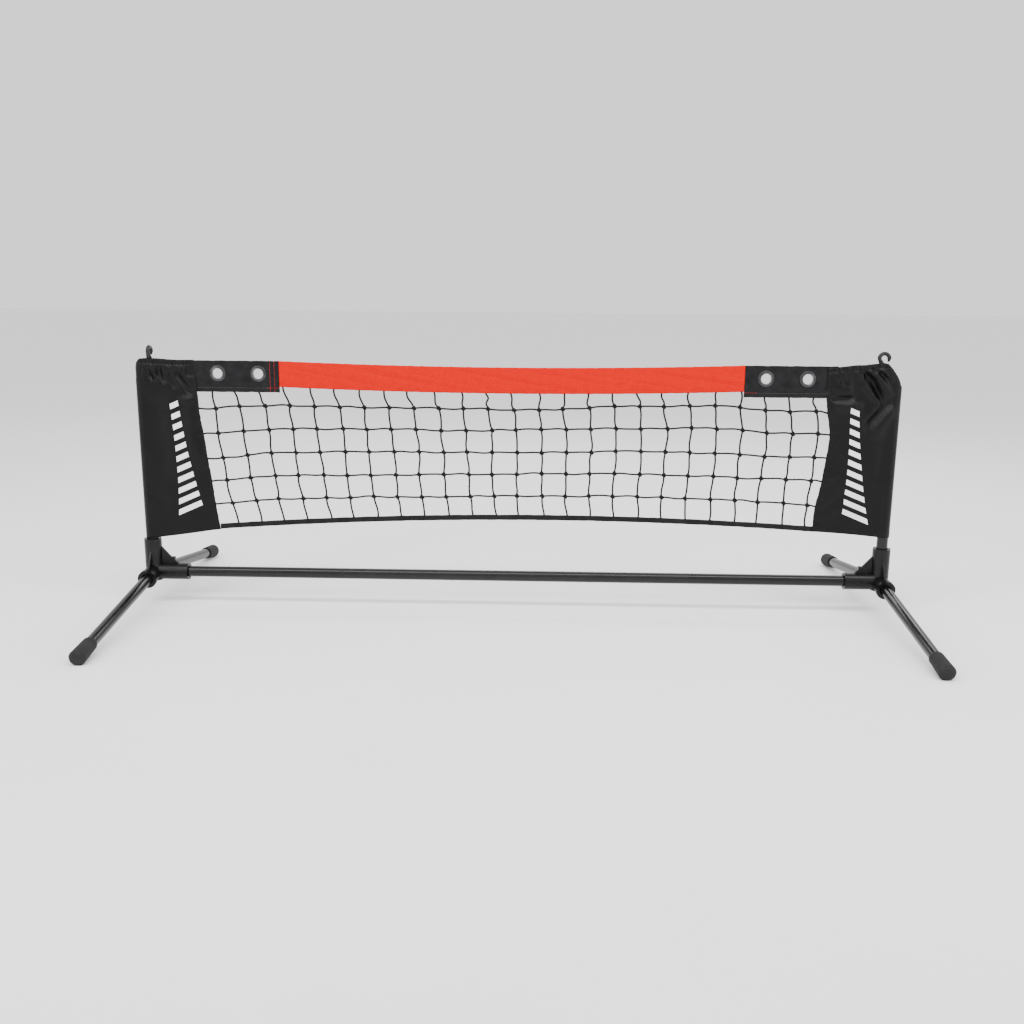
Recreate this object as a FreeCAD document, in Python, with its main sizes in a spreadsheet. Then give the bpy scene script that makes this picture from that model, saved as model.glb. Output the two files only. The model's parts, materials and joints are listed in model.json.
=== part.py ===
"""Free-standing mini net for ball games: a tube frame that plugs together and a net on two posts.

Origin: on the floor, in the plane of the net, midway between the posts.
+X runs along the net, +Y from the front feet to the rear feet, +Z up. Millimetres.
"""
import FreeCAD, Part
import os

import Sketcher

Vector = FreeCAD.Vector
Rotation = FreeCAD.Rotation
Placement = FreeCAD.Placement

doc = FreeCAD.newDocument("mini_net")

# Driving dimensions, in millimetres. Everything else is worked out from these.
DRIVING_SIZES = [
    ("post_spacing", 1500, "centre to centre of the two posts"),
    ("bar_height", 67.2, "height of the crossbar's axis over the floor"),
    ("leg_reach", 378, "net plane to the tip of a leg tube, along Y"),
    ("tube_od", 22, "outer diameter of every frame tube"),
    ("tube_wall", 1.5, "wall of every frame tube"),
    ("plug_play", 0.05, "radial clearance of a tube in its socket"),
    ("middle_bar", 716, "length of the middle crossbar tube"),
    ("ferrule_length", 90, "spigot inside a crossbar joint"),
    ("socket_wall", 6.5, "tube to the outside of the post socket"),
    ("arm_wall", 6, "tube to the outside of the crossbar and leg sockets"),
    ("collar_rise", 2, "collar on a leg socket, over the socket's outside"),
    ("collar_width", 9, "length of that collar"),
    ("post_socket_rise", 69.8, "crossbar's axis to the top of the post socket"),
    ("post_depth", 54, "how far a post goes into its socket"),
    ("bar_arm", 73, "post axis to the mouth of the crossbar socket"),
    ("bar_depth", 56, "how far the crossbar goes into its socket"),
    ("leg_arm", 47, "post axis to the mouth of a leg socket"),
    ("leg_depth", 31, "how far a leg goes into its socket"),
    ("mouth_chamfer", 1.2, "lead-in at the mouth of each socket"),
    ("rib_thick", 4, "thickness of the gusset ribs and of the web"),
    ("rib_top", 45, "top of a rib over a leg socket, over the crossbar's axis"),
    ("rib_sink", 7, "top of a leg socket down to the low end of that rib"),
    ("web_top", 54, "top of the web over the crossbar socket, over the crossbar's axis"),
    ("web_reach", 53, "post axis to the low end of that web"),
    ("lug_side", 8, "side of the square lug on the web's edge"),
    ("lug_reach", 45, "post axis to the far side of that lug"),
    ("lug_top", 31, "top of that lug over the crossbar's axis"),
    ("foot_length", 58, "length of a rubber foot"),
    ("foot_wall", 2.5, "rubber round the tube at a foot's mouth"),
    ("foot_tip_wall", 4, "rubber round the tube near a foot's tip"),
    ("sole_cut", 1, "flat of a foot, below its round outside at the tip of the tube"),
    ("foot_tip", 8, "rubber beyond the tip of the tube"),
    ("foot_round", 4, "rounding of the foot's tip"),
    ("post_top", 462, "height of the top of the post tube"),
    ("cap_plug", 25, "part of the post cap that is inside the tube"),
    ("cap_height", 38, "post cap over the end of the tube"),
    ("left_cap_lean", 18, "left post's axis to its hook's swivel axis"),
    ("right_cap_lean", 26, "the same on the right"),
    ("cap_neck_od", 15, "diameter of the top of the cap's neck"),
    ("hook_pin_od", 5, "diameter of the hook's pin"),
    ("hook_pin_play", 0.05, "radial clearance of that pin"),
    ("hook_pin_length", 14, "hook's pin below its base"),
    ("hook_gap", 0.3, "cap to the hook's base"),
    ("hook_base_od", 13.6, "diameter of the hook's base"),
    ("hook_base_thick", 2.2, "thickness of the hook's base"),
    ("hook_rise", 20, "cap to the centre of the hook's eye"),
    ("hook_eye", 9.6, "radius of the hook's bend to the middle of its wire"),
    ("hook_wire", 7.8, "thickness of the hook's wire"),
    ("hook_tip", 3.6, "thickness of the hook's wire at its tip"),
    ("hook_tip_drop", 6, "length of the tapered tip below the hook's eye"),
    ("left_hook_turn", 90, "swivel of the left hook from the right hook, degrees"),
    ("sleeve_wall", 1, "cloth of a sleeve"),
    ("sleeve_gap", 0.6, "tube to the inside of a sleeve"),
    ("neck_room", 3.1, "top of the cap's neck to the hem's elastic round it"),
    ("shoulder_rise", 4, "top of the post tube to the height where a sleeve starts to lean in"),
    ("sleeve_edge", 2.5, "half thickness of a sleeve at its inner edge"),
    ("hem_rise", 5, "top of a sleeve over the top of the cap"),
    ("sleeve_width", 149, "post axis to the inner edge of a sleeve, at the bottom"),
    ("sleeve_mid_width", 135, "the same, half way up"),
    ("sleeve_top_width", 118, "the same, at the top"),
    ("left_sleeve_lift", 2, "post socket up to the left sleeve's lower edge"),
    ("right_sleeve_lift", 25, "post socket up to the right sleeve's lower edge"),
    ("hem_height", 8, "height of the elastic in the top hem"),
    ("hem_thick", 1, "thickness of that elastic"),
    ("cloth_thick", 3, "thickness of the tape, the end bands and the bottom band"),
    ("end_band", 169, "mean length of the end bands that shows at the top, tape to sleeve"),
    ("tape_shift", -9.6, "middle of the tape and of its eyelets along X"),
    ("tape_height", 51.5, "height of that tape"),
    ("tape_drop", 1, "top of a sleeve down to the tape's upper edge at its ends"),
    ("tape_sag", 8.5, "dip of the tape's upper edge in the middle"),
    ("band_height", 62.5, "height of the end bands"),
    ("bottom_band_height", 10, "height of the bottom band"),
    ("bottom_lift", 33, "post socket up to the bottom band's upper edge at the left sleeve"),
    ("bottom_rise", 27, "rise of the bottom band from there to its highest place"),
    ("bottom_shift", 78, "that highest place along X"),
    ("eyelet_bore", 19.5, "hole through an eyelet"),
    ("eyelet_wall", 1, "wall of an eyelet's barrel"),
    ("eyelet_flange_od", 32.5, "outer diameter of an eyelet's flange and of its washer"),
    ("eyelet_flange", 1.2, "thickness of that flange and of that washer"),
    ("eyelet_inset", 42, "end of the tape to the inner eyelet"),
    ("eyelet_pitch", 82, "inner eyelet to outer eyelet"),
    ("eyelet_drop", 25.5, "upper edge of an end band down to the eyelets' axes"),
    ("twine", 3, "thickness of the net's twine"),
    ("mesh_width", 50, "twine to twine along the net"),
    ("mesh_height", 44.5, "twine to twine up the net"),
    ("low_row_rise", 63, "bottom band's upper edge at the left sleeve to the lowest level twine"),
]

sizes = doc.addObject("Spreadsheet::Sheet", "sizes")
for row, (alias, value, meaning) in enumerate(DRIVING_SIZES, start=1):
    sizes.set(f"A{row}", meaning)
    sizes.set(f"B{row}", str(value))
    sizes.setAlias(f"B{row}", alias)
doc.recompute()

# Expressions that several pieces share.
SOCKET_OD = "(sizes.tube_od + 2 * sizes.socket_wall)"
ARM_OD = "(sizes.tube_od + 2 * sizes.arm_wall)"
COLLAR_OD = f"({ARM_OD} + 2 * sizes.collar_rise)"
RIB_REACH = "(sizes.leg_arm - sizes.collar_width)"
RIB_TOE = f"({ARM_OD} / 2 - sizes.rib_sink)"
FOOT_MOUTH_RADIUS = "(sizes.tube_od / 2 + sizes.foot_wall)"
FOOT_TIP_RADIUS = "(sizes.tube_od / 2 + sizes.foot_tip_wall)"
LEG_DROP = f"(sizes.bar_height - {FOOT_TIP_RADIUS} + sizes.sole_cut)"
LEG_SLOPE = f"atan({LEG_DROP} / sizes.leg_reach)"
LEG_AXIS = f"sqrt(sizes.leg_reach * sizes.leg_reach + {LEG_DROP} * {LEG_DROP})"
LEG_START = "(sizes.leg_arm - sizes.leg_depth)"
TUBE_BORE = "(sizes.tube_od - 2 * sizes.tube_wall)"
SOCKET_BORE_RADIUS = "(sizes.tube_od / 2 + sizes.plug_play)"
SOCKET_TOP = "(sizes.bar_height + sizes.post_socket_rise)"
POST_FOOT = f"({SOCKET_TOP} - sizes.post_depth)"
CAP_TOP = "(sizes.post_top + sizes.cap_height)"
SLEEVE_ROUND = "(sizes.tube_od / 2 + sizes.sleeve_gap + sizes.sleeve_wall)"
NECK_ROUND = "(sizes.cap_neck_od / 2 + sizes.neck_room + sizes.hem_thick + sizes.sleeve_wall)"
SLEEVE_SHOULDER = "(sizes.post_top + sizes.shoulder_rise)"
SLEEVE_TOP = f"({CAP_TOP} + sizes.hem_rise)"
TAPE_TOP = f"({SLEEVE_TOP} - sizes.tape_drop)"
TAPE_HALF = "(sizes.post_spacing / 2 - sizes.sleeve_top_width - sizes.end_band)"
TAPE_RADIUS = f"({TAPE_HALF} * {TAPE_HALF} / (2 * sizes.tape_sag) + sizes.tape_sag / 2)"
EYELET_INNER = f"({TAPE_HALF} + sizes.eyelet_inset)"
EYELET_HEIGHT = f"({TAPE_TOP} - sizes.eyelet_drop)"
NET_HALF = "(sizes.post_spacing / 2 - sizes.sleeve_width)"
BOTTOM_TOP = f"({SOCKET_TOP} + sizes.bottom_lift)"
BOTTOM_SPAN = f"({NET_HALF} + sizes.bottom_shift)"
BOTTOM_RADIUS = f"({BOTTOM_SPAN} * {BOTTOM_SPAN} / (2 * sizes.bottom_rise) + sizes.bottom_rise / 2)"
BOTTOM_ANGLE = f"2 * asin(({BOTTOM_SPAN} + 30) / {BOTTOM_RADIUS})"
LOW_ROW = f"({BOTTOM_TOP} + sizes.low_row_rise)"
# the net's blank runs into the sleeves and behind the bands, where it is trimmed to them
BLANK_HALF = "(sizes.post_spacing / 2 - sizes.sleeve_top_width + 10)"
MESH_COLUMNS = f"(2 * floor({BLANK_HALF} / sizes.mesh_width) + 1)"
TOP_CELL = f"({TAPE_TOP} - sizes.tape_sag - sizes.tape_height - sizes.mesh_height / 4)"
MESH_ROWS = f"(1 + floor(({TOP_CELL} - {LOW_ROW}) / sizes.mesh_height))"


# ---- helpers that draw and build ----

def newBody(label):
    body = doc.addObject("PartDesign::Body", label)
    body.Label = label
    return body


def newSketch(body, name, role, offset=None, turn=None):
    """A sketch on one of the body's own origin planes, moved by expressions in that plane's axes."""
    sketch = body.newObject("Sketcher::SketchObject", name)
    plane = next(f for f in body.Origin.OriginFeatures if f.Role == role)
    sketch.AttachmentSupport = [(plane, "")]
    sketch.MapMode = "FlatFace"
    if turn:
        sketch.AttachmentOffset = Placement(Vector(), Rotation(Vector(0, 0, 1), 10))
        sketch.setExpression("AttachmentOffset.Rotation.Angle", turn)
    for axis, expression in (offset or {}).items():
        sketch.setExpression(f"AttachmentOffset.Base.{axis}", expression)
    return sketch


def addCircle(sketch, diameter, across=None):
    """A circle round the sketch's origin, or on its x axis at the expression across."""
    start = evaluate(diameter)
    centre = Vector(evaluate(across) if across else 0, 0, 0)
    circle = sketch.addGeometry(Part.Circle(centre, Vector(0, 0, 1), start / 2), False)
    if across:
        sketch.addConstraint(Sketcher.Constraint("PointOnObject", circle, 3, -1))
        held = sketch.addConstraint(Sketcher.Constraint("DistanceX", -1, 1, circle, 3, centre.x))
        sketch.setExpression(f"Constraints[{held}]", across)
    else:
        sketch.addConstraint(Sketcher.Constraint("Coincident", circle, 3, -1, 1))
    held = sketch.addConstraint(Sketcher.Constraint("Diameter", circle, start))
    sketch.setExpression(f"Constraints[{held}]", diameter)


def addPolygon(sketch, corners):
    """A closed outline whose corners are pairs of expressions, x and y."""
    placed = [Vector(*(evaluate(value) for value in corner), 0) for corner in corners]
    count = len(placed)
    lines = [sketch.addGeometry(Part.LineSegment(placed[i], placed[(i + 1) % count]), False)
             for i in range(count)]
    for i in range(count):
        sketch.addConstraint(Sketcher.Constraint("Coincident", lines[i], 2, lines[(i + 1) % count], 1))
    for line, corner, point in zip(lines, corners, placed):
        for kind, expression, value in zip(("DistanceX", "DistanceY"), corner, point):
            held = sketch.addConstraint(Sketcher.Constraint(kind, -1, 1, line, 1, value))
            sketch.setExpression(f"Constraints[{held}]", expression)


def evaluate(expression):
    """The present value of an expression in the sheet's names."""
    value = sizes.evalExpression(expression.replace("sizes.", ""))
    return float(getattr(value, "Value", value))


def mirrored(corners):
    """The same corners on the other side of the sketch's y axis."""
    return [(f"-({x})", y) for x, y in corners]


def pad(body, sketch, length, name, midplane=False, backwards=False):
    feature = body.newObject("PartDesign::Pad", name)
    feature.Profile = sketch
    feature.setExpression("Length", length)
    feature.Midplane = midplane
    feature.Reversed = backwards
    sketch.Visibility = False
    return feature


def pocketThrough(body, sketch, name):
    feature = body.newObject("PartDesign::Pocket", name)
    feature.Profile = sketch
    feature.Type = 1
    feature.Midplane = True
    return feature


def turned(body, name, role, corners, axis, turn=None, cut=False, offset=None):
    """A full turn of an outline about one of its sketch's axes, added or cut away."""
    sketch = newSketch(body, name + "_profile", role, offset, turn)
    addPolygon(sketch, corners)
    kind = "PartDesign::Groove" if cut else "PartDesign::Revolution"
    feature = body.newObject(kind, name)
    feature.Profile = sketch
    feature.ReferenceAxis = (sketch, [axis])
    feature.Angle = 360
    return feature


def place(item, x="0", y="0", z="0", axis=None, angle=None):
    """Bind an object's placement to expressions."""
    if axis:
        item.Placement = Placement(Vector(), Rotation(Vector(*axis), 10))
        item.setExpression("Placement.Rotation.Angle", angle)
    for name, expression in zip("xyz", (x, y, z)):
        item.setExpression(f"Placement.Base.{name}", expression)


def addTube(label, length):
    """A round tube along the body's own Z axis."""
    body = newBody(label)
    sketch = newSketch(body, label + "_section", "XY_Plane")
    addCircle(sketch, "sizes.tube_od")
    addCircle(sketch, TUBE_BORE)
    pad(body, sketch, length, label + "_run")
    return body


SIDES = {"left": -1, "right": 1}
ENDS = {"front": -1, "rear": 1}
NECK_STEPS = 6
NECK_CURVE = 1.2


def postX(side):
    return f"{side} * sizes.post_spacing / 2"


# ---- the base frame ----

def addConnector(label, side):
    """The moulded corner: sockets for a post, the crossbar and two legs, with ribs and a web."""
    body = newBody(label)
    place(body, x=postX(side), z="sizes.bar_height")
    top = "sizes.post_socket_rise"
    socket = f"{SOCKET_OD} / 2"
    floor = f"(-{socket})"
    turned(body, label + "_post_socket", "XZ_Plane",
           [("0", floor), (socket, floor), (socket, top), ("0", top)],
           "V_Axis")
    arm = f"{ARM_OD} / 2"
    collar = f"{COLLAR_OD} / 2"
    bar = [("0", "0"), ("sizes.bar_arm", "0"), ("sizes.bar_arm", arm), ("0", arm)]
    turned(body, label + "_bar_socket", "XZ_Plane", bar if side < 0 else mirrored(bar), "H_Axis")
    leg = [("0", "0"), ("sizes.leg_arm", "0"), ("sizes.leg_arm", collar), (RIB_REACH, collar),
           (RIB_REACH, arm), ("0", arm)]
    leg_turns = {"front": f"180 deg + {LEG_SLOPE}", "rear": f"-({LEG_SLOPE})"}
    for end, turn in leg_turns.items():
        turned(body, f"{label}_{end}_socket", "YZ_Plane", leg, "H_Axis", turn)
    ribs = newSketch(body, label + "_rib_outline", "YZ_Plane")
    shoulder = f"({socket} - 1)"
    addPolygon(ribs, [(RIB_REACH, RIB_TOE), (shoulder, "sizes.rib_top"),
                      (f"-{shoulder}", "sizes.rib_top"), (f"-{RIB_REACH}", RIB_TOE),
                      (f"-{RIB_REACH}", f"{RIB_TOE} - 6"), ("0", "0"), (RIB_REACH, f"{RIB_TOE} - 6")])
    pad(body, ribs, "sizes.rib_thick", label + "_ribs", midplane=True)
    web = newSketch(body, label + "_web_outline", "XZ_Plane")
    lug_near = "(sizes.lug_reach - sizes.lug_side)"
    web_edge = [("0", "0"), ("sizes.web_reach", "0"), ("sizes.web_reach", f"{arm} - 1"),
                (lug_near, "sizes.lug_top"), (shoulder, "sizes.web_top"), ("0", "sizes.web_top")]
    addPolygon(web, web_edge if side < 0 else mirrored(web_edge))
    pad(body, web, "sizes.rib_thick", label + "_web", midplane=True)
    lug = newSketch(body, label + "_lug_outline", "XZ_Plane")
    lug_low = "(sizes.lug_top - sizes.lug_side)"
    square = [(lug_near, lug_low), ("sizes.lug_reach", lug_low), ("sizes.lug_reach", "sizes.lug_top"),
              (lug_near, "sizes.lug_top")]
    addPolygon(lug, square if side < 0 else mirrored(square))
    pad(body, lug, "sizes.lug_side", label + "_lug", midplane=True)
    radius = SOCKET_BORE_RADIUS
    wide = f"({radius} + sizes.mouth_chamfer)"

    def bore(mouth, depth, along_x):
        corners = [(f"{mouth} - {depth}", "0"), (f"{mouth} - {depth}", radius),
                   (f"{mouth} - sizes.mouth_chamfer", radius), (mouth, wide), (mouth, "0")]
        return corners if along_x else [(across, up) for up, across in corners]

    turned(body, label + "_post_bore", "XZ_Plane", bore(top, "sizes.post_depth", False), "V_Axis",
           cut=True)
    bar_bore = bore("sizes.bar_arm", "sizes.bar_depth", True)
    turned(body, label + "_bar_bore", "XZ_Plane", bar_bore if side < 0 else mirrored(bar_bore),
           "H_Axis", cut=True)
    for end, turn in leg_turns.items():
        turned(body, f"{label}_{end}_bore", "YZ_Plane", bore("sizes.leg_arm", "sizes.leg_depth", True),
               "H_Axis", turn, cut=True)
    return body


def addCrossbar():
    """Three tubes end to end, with a spigot inside each joint."""
    outer_length = ("(sizes.post_spacing - sizes.middle_bar) / 2"
                    " - (sizes.bar_arm - sizes.bar_depth)")
    starts = {"crossbar_left": (f"{postX(-1)} + sizes.bar_arm - sizes.bar_depth", outer_length),
              "crossbar_middle": ("-sizes.middle_bar / 2", "sizes.middle_bar"),
              "crossbar_right": ("sizes.middle_bar / 2", outer_length)}
    for label, (start, length) in starts.items():
        place(addTube(label, length), x=start, z="sizes.bar_height", axis=(0, 1, 0), angle="90 deg")
    for word, side in SIDES.items():
        label = word + "_ferrule"
        body = newBody(label)
        sketch = newSketch(body, label + "_section", "XY_Plane")
        addCircle(sketch, TUBE_BORE)
        addCircle(sketch, f"{TUBE_BORE} - 2 * sizes.tube_wall")
        pad(body, sketch, "sizes.ferrule_length", label + "_run")
        place(body, x=f"{side} * sizes.middle_bar / 2 - sizes.ferrule_length / 2", z="sizes.bar_height",
              axis=(0, 1, 0), angle="90 deg")


def addLeg(name, side, way):
    """A sloping leg tube with its rubber foot, cut flat where it stands on the floor."""
    turn = f"90 deg + {LEG_SLOPE}" if way < 0 else f"-(90 deg + {LEG_SLOPE})"
    tube = addTube(name + "_leg", f"{LEG_AXIS} - {LEG_START}")
    # the tube's own origin is at its inner end, on the sloping axis
    place(tube, x=postX(side), y=f"{way} * cos({LEG_SLOPE}) * {LEG_START}",
          z=f"sizes.bar_height - sin({LEG_SLOPE}) * {LEG_START}", axis=(1, 0, 0), angle=turn)
    label = name + "_foot"
    foot = newBody(label)
    place(foot, x=postX(side), z="sizes.bar_height", axis=(1, 0, 0), angle=turn)
    tip = f"({LEG_AXIS} + sizes.foot_tip)"
    mouth = f"({tip} - sizes.foot_length)"
    mouth_r = FOOT_MOUTH_RADIUS
    tip_r = FOOT_TIP_RADIUS
    outline = [("sizes.tube_od / 2", mouth), (mouth_r, mouth), (tip_r, f"{tip} - 2 * sizes.foot_round"),
               (tip_r, f"{tip} - sizes.foot_round"), (f"{tip_r} - sizes.foot_round", tip), ("0", tip),
               ("0", LEG_AXIS), ("sizes.tube_od / 2", LEG_AXIS)]
    turned(foot, label + "_cap", "XZ_Plane", outline, "V_Axis")
    floor = newSketch(foot, label + "_floor", "YZ_Plane", turn=f"-({turn})")
    # this sketch is level again, so the floor is one bar height below its origin
    near = f"{way} * (sizes.leg_reach - sizes.foot_length)"
    far = f"{way} * (sizes.leg_reach + 4 * {tip_r})"
    deep = f"-sizes.bar_height - 2 * {tip_r}"
    addPolygon(floor, [(near, "-sizes.bar_height"), (far, "-sizes.bar_height"), (far, deep),
                       (near, deep)])
    pocketThrough(foot, floor, label + "_sole")


# ---- the posts, their caps and the hooks ----

def addPost(word, side):
    place(addTube(word + "_post", f"sizes.post_top - {POST_FOOT}"), x=postX(side), z=POST_FOOT)
    label = word + "_post_cap"
    cap = newBody(label)
    place(cap, x=postX(side), z="sizes.post_top")
    plug = newSketch(cap, label + "_plug_section", "XY_Plane")
    addCircle(plug, TUBE_BORE)
    pad(cap, plug, "sizes.cap_plug", label + "_plug", backwards=True)
    # the neck leans further the higher it gets, and tapers evenly
    sketches = []
    for number in range(NECK_STEPS + 1):
        part = number / NECK_STEPS
        lean = f"{-side * part ** NECK_CURVE:.4f} * sizes.{word}_cap_lean"
        sketch = newSketch(cap, f"{label}_ring_{number}", "XY_Plane",
                           {"x": lean, "z": f"{part} * sizes.cap_height"})
        addCircle(sketch, f"sizes.tube_od - {part} * (sizes.tube_od - sizes.cap_neck_od)")
        sketches.append(sketch)
    neck = cap.newObject("PartDesign::AdditiveLoft", label + "_neck")
    neck.Profile = sketches[0]
    neck.Sections = sketches[1:]
    neck.Ruled = True
    turned(cap, label + "_bore", "XZ_Plane",
           [("0", "sizes.cap_height"), ("sizes.hook_pin_od / 2 + sizes.hook_pin_play", "sizes.cap_height"),
            ("sizes.hook_pin_od / 2 + sizes.hook_pin_play",
             "sizes.cap_height - sizes.hook_pin_length - 1"),
            ("0", "sizes.cap_height - sizes.hook_pin_length - 1")],
           "V_Axis", cut=True, offset={"x": f"{-side} * sizes.{word}_cap_lean"})


def addHook(word, side, turn):
    """An open hook on a round base, whose pin turns in the post cap."""
    label = word + "_hook"
    body = newBody(label)
    place(body, x=f"{side} * (sizes.post_spacing / 2 - sizes.{word}_cap_lean)",
          z=f"{CAP_TOP} + sizes.hook_gap", axis=(0, 0, 1), angle=turn)
    turned(body, label + "_base", "XZ_Plane",
           [("0", "-sizes.hook_pin_length"), ("sizes.hook_pin_od / 2", "-sizes.hook_pin_length"),
            ("sizes.hook_pin_od / 2", "0"), ("sizes.hook_base_od / 2", "0"),
            ("sizes.hook_base_od / 2", "sizes.hook_base_thick"), ("0", "sizes.hook_base_thick")],
           "V_Axis")
    shank_foot = newSketch(body, label + "_shank_foot", "XY_Plane", {"z": "sizes.hook_base_thick"})
    addCircle(shank_foot, "sizes.hook_base_od - 1")
    shank_top = newSketch(body, label + "_shank_top", "XY_Plane",
                          {"x": "-sizes.hook_eye", "z": "sizes.hook_rise"})
    addCircle(shank_top, "sizes.hook_wire")
    shank = body.newObject("PartDesign::AdditiveLoft", label + "_shank")
    shank.Profile = shank_foot
    shank.Sections = [shank_top]
    # half a turn of wire over the eye, about the level axis through the eye's centre
    wire = newSketch(body, label + "_wire", "XY_Plane", {"z": "sizes.hook_rise"})
    addCircle(wire, "sizes.hook_wire", "-sizes.hook_eye")
    bend = body.newObject("PartDesign::Revolution", label + "_bend")
    bend.Profile = wire
    bend.ReferenceAxis = (wire, ["V_Axis"])
    bend.Angle = 180
    tip_root = newSketch(body, label + "_tip_root", "XY_Plane",
                         {"x": "sizes.hook_eye", "z": "sizes.hook_rise"})
    addCircle(tip_root, "sizes.hook_wire")
    tip_end = newSketch(body, label + "_tip_end", "XY_Plane",
                        {"x": "sizes.hook_eye - 1", "z": "sizes.hook_rise - sizes.hook_tip_drop"})
    addCircle(tip_end, "sizes.hook_tip")
    tip = body.newObject("PartDesign::AdditiveLoft", label + "_tip")
    tip.Profile = tip_root
    tip.Sections = [tip_end]


# ---- the net and its cloth ----

def pocketCorners(side, centre, half, edge_x, edge):
    """Eight corners of a sleeve's level section: round the post, then tapering to the inner edge."""
    slant = f"0.4142 * {half}"
    outer = [(f"{centre} + {half}", slant), (f"{centre} + {slant}", half), (f"{centre} - {slant}", half),
             (edge_x, edge)]
    ring = outer + [(x, f"-({y})") for x, y in reversed(outer)]
    return [(f"{side} * ({x})", y) for x, y in ring]


def addSleeveLoft(body, side, levels, wall, kind):
    """A sleeve's outside, or its hollow one wall further in, through level sections."""
    sketches = []
    for number, (height, centre, half, width) in enumerate(levels):
        sketch = newSketch(body, f"{body.Label}_{kind}_{number}", "XY_Plane", {"z": height})
        edge_x = f"sizes.post_spacing / 2 - {width} + 2 * {wall}"
        addPolygon(sketch, pocketCorners(side, centre, f"({half} - {wall})", edge_x,
                                         f"(sizes.sleeve_edge - {wall})"))
        sketches.append(sketch)
    loft = body.newObject("PartDesign::" + kind, f"{body.Label}_{kind}")
    loft.Profile = sketches[0]
    loft.Sections = sketches[1:]
    loft.Ruled = True


def addSleeve(word, side):
    """A sleeve of cloth round the post, open below and at the hook, and the elastic in its top hem."""
    post = "sizes.post_spacing / 2"
    neck = f"{post} - sizes.{word}_cap_lean"
    bottom = f"({SOCKET_TOP} + sizes.{word}_sleeve_lift)"
    levels = [(bottom, post, SLEEVE_ROUND, "sizes.sleeve_width"),
              (f"({bottom} + {SLEEVE_SHOULDER}) / 2", post, SLEEVE_ROUND, "sizes.sleeve_mid_width"),
              (SLEEVE_SHOULDER, post, SLEEVE_ROUND,
               "(sizes.sleeve_mid_width + sizes.sleeve_top_width) / 2"),
              (SLEEVE_TOP, neck, NECK_ROUND, "sizes.sleeve_top_width")]
    sleeve = newBody(word + "_sleeve")
    addSleeveLoft(sleeve, side, levels, "0", "AdditiveLoft")
    addSleeveLoft(sleeve, side, levels, "sizes.sleeve_wall", "SubtractiveLoft")
    # the net and the bands end on the sleeve's inner edge, also a little below its lower edge
    trimmer = newBody(word + "_sleeve_trimmer")
    below = (f"{bottom} - sizes.bottom_rise",) + levels[0][1:]
    addSleeveLoft(trimmer, side, [below] + levels, "0", "AdditiveLoft")

    label = word + "_hem_elastic"
    elastic = newBody(label)
    sketch = newSketch(elastic, label + "_loop", "XY_Plane", {"z": f"{SLEEVE_TOP} - sizes.hem_height"})
    for inset in ("sizes.sleeve_wall", "(sizes.sleeve_wall + sizes.hem_thick)"):
        edge = "(sizes.sleeve_edge - sizes.sleeve_wall)" if inset == "sizes.sleeve_wall" else "0.6"
        addPolygon(sketch, pocketCorners(side, neck, f"({NECK_ROUND} - {inset})",
                                         f"{post} - sizes.sleeve_top_width + 2 * {inset}", edge))
    pad(elastic, sketch, "sizes.hem_height", label + "_strip")
    return trimmer


def addBow(label, middle, upper_edge, height, radius, upward, angle):
    """A long strip bent in the net's plane, made by a small turn about a far level axis."""
    body = newBody(label)
    way = 1 if upward else -1
    sketch = newSketch(body, label + "_section", "YZ_Plane",
                       {"y": f"{upper_edge} - {way} * {radius}", "z": middle})
    half = "sizes.cloth_thick / 2"
    top = f"{way} * {radius}"
    low = f"{way} * {radius} - {height}"
    addPolygon(sketch, [(half, top), (f"-{half}", top), (f"-{half}", low), (half, low)])
    bow = body.newObject("PartDesign::Revolution", label + "_run")
    bow.Profile = sketch
    bow.ReferenceAxis = (sketch, ["H_Axis"])
    bow.Midplane = True
    bow.setExpression("Angle", angle)
    return body


def addBlock(label, low, high):
    """A plain box between two corners given as expressions."""
    block = doc.addObject("Part::Box", label)
    for name, start, end in zip(("Length", "Width", "Height"), low, high):
        block.setExpression(name, f"({end}) - ({start})")
    place(block, *low)
    return block


def cutAway(label, base, *tools):
    """Base less the tools, under its own label."""
    tool = tools[0]
    if len(tools) > 1:
        tool = doc.addObject("Part::MultiFuse", label + "_neighbours")
        tool.Shapes = list(tools)
    cut = doc.addObject("Part::Cut", label)
    cut.Label = label
    cut.Base = base
    cut.Tool = tool
    return cut


def eyeletPlaces(side):
    """X of the two eyelets on one side, as expressions."""
    return [f"{side} * ({EYELET_INNER} + {step} * sizes.eyelet_pitch) + sizes.tape_shift"
            for step in (0, 1)]


def ring(name, outer, inner, x, y_from, length):
    """A flat ring about a level axis across the net."""
    parts = []
    for word, radius in (("outer", outer), ("inner", inner)):
        cylinder = doc.addObject("Part::Cylinder", f"{name}_{word}")
        cylinder.setExpression("Radius", radius)
        cylinder.setExpression("Height", length)
        place(cylinder, x=x, y=y_from, z=EYELET_HEIGHT, axis=(1, 0, 0), angle="-90 deg")
        parts.append(cylinder)
    return cutAway(name, *parts)


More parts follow.
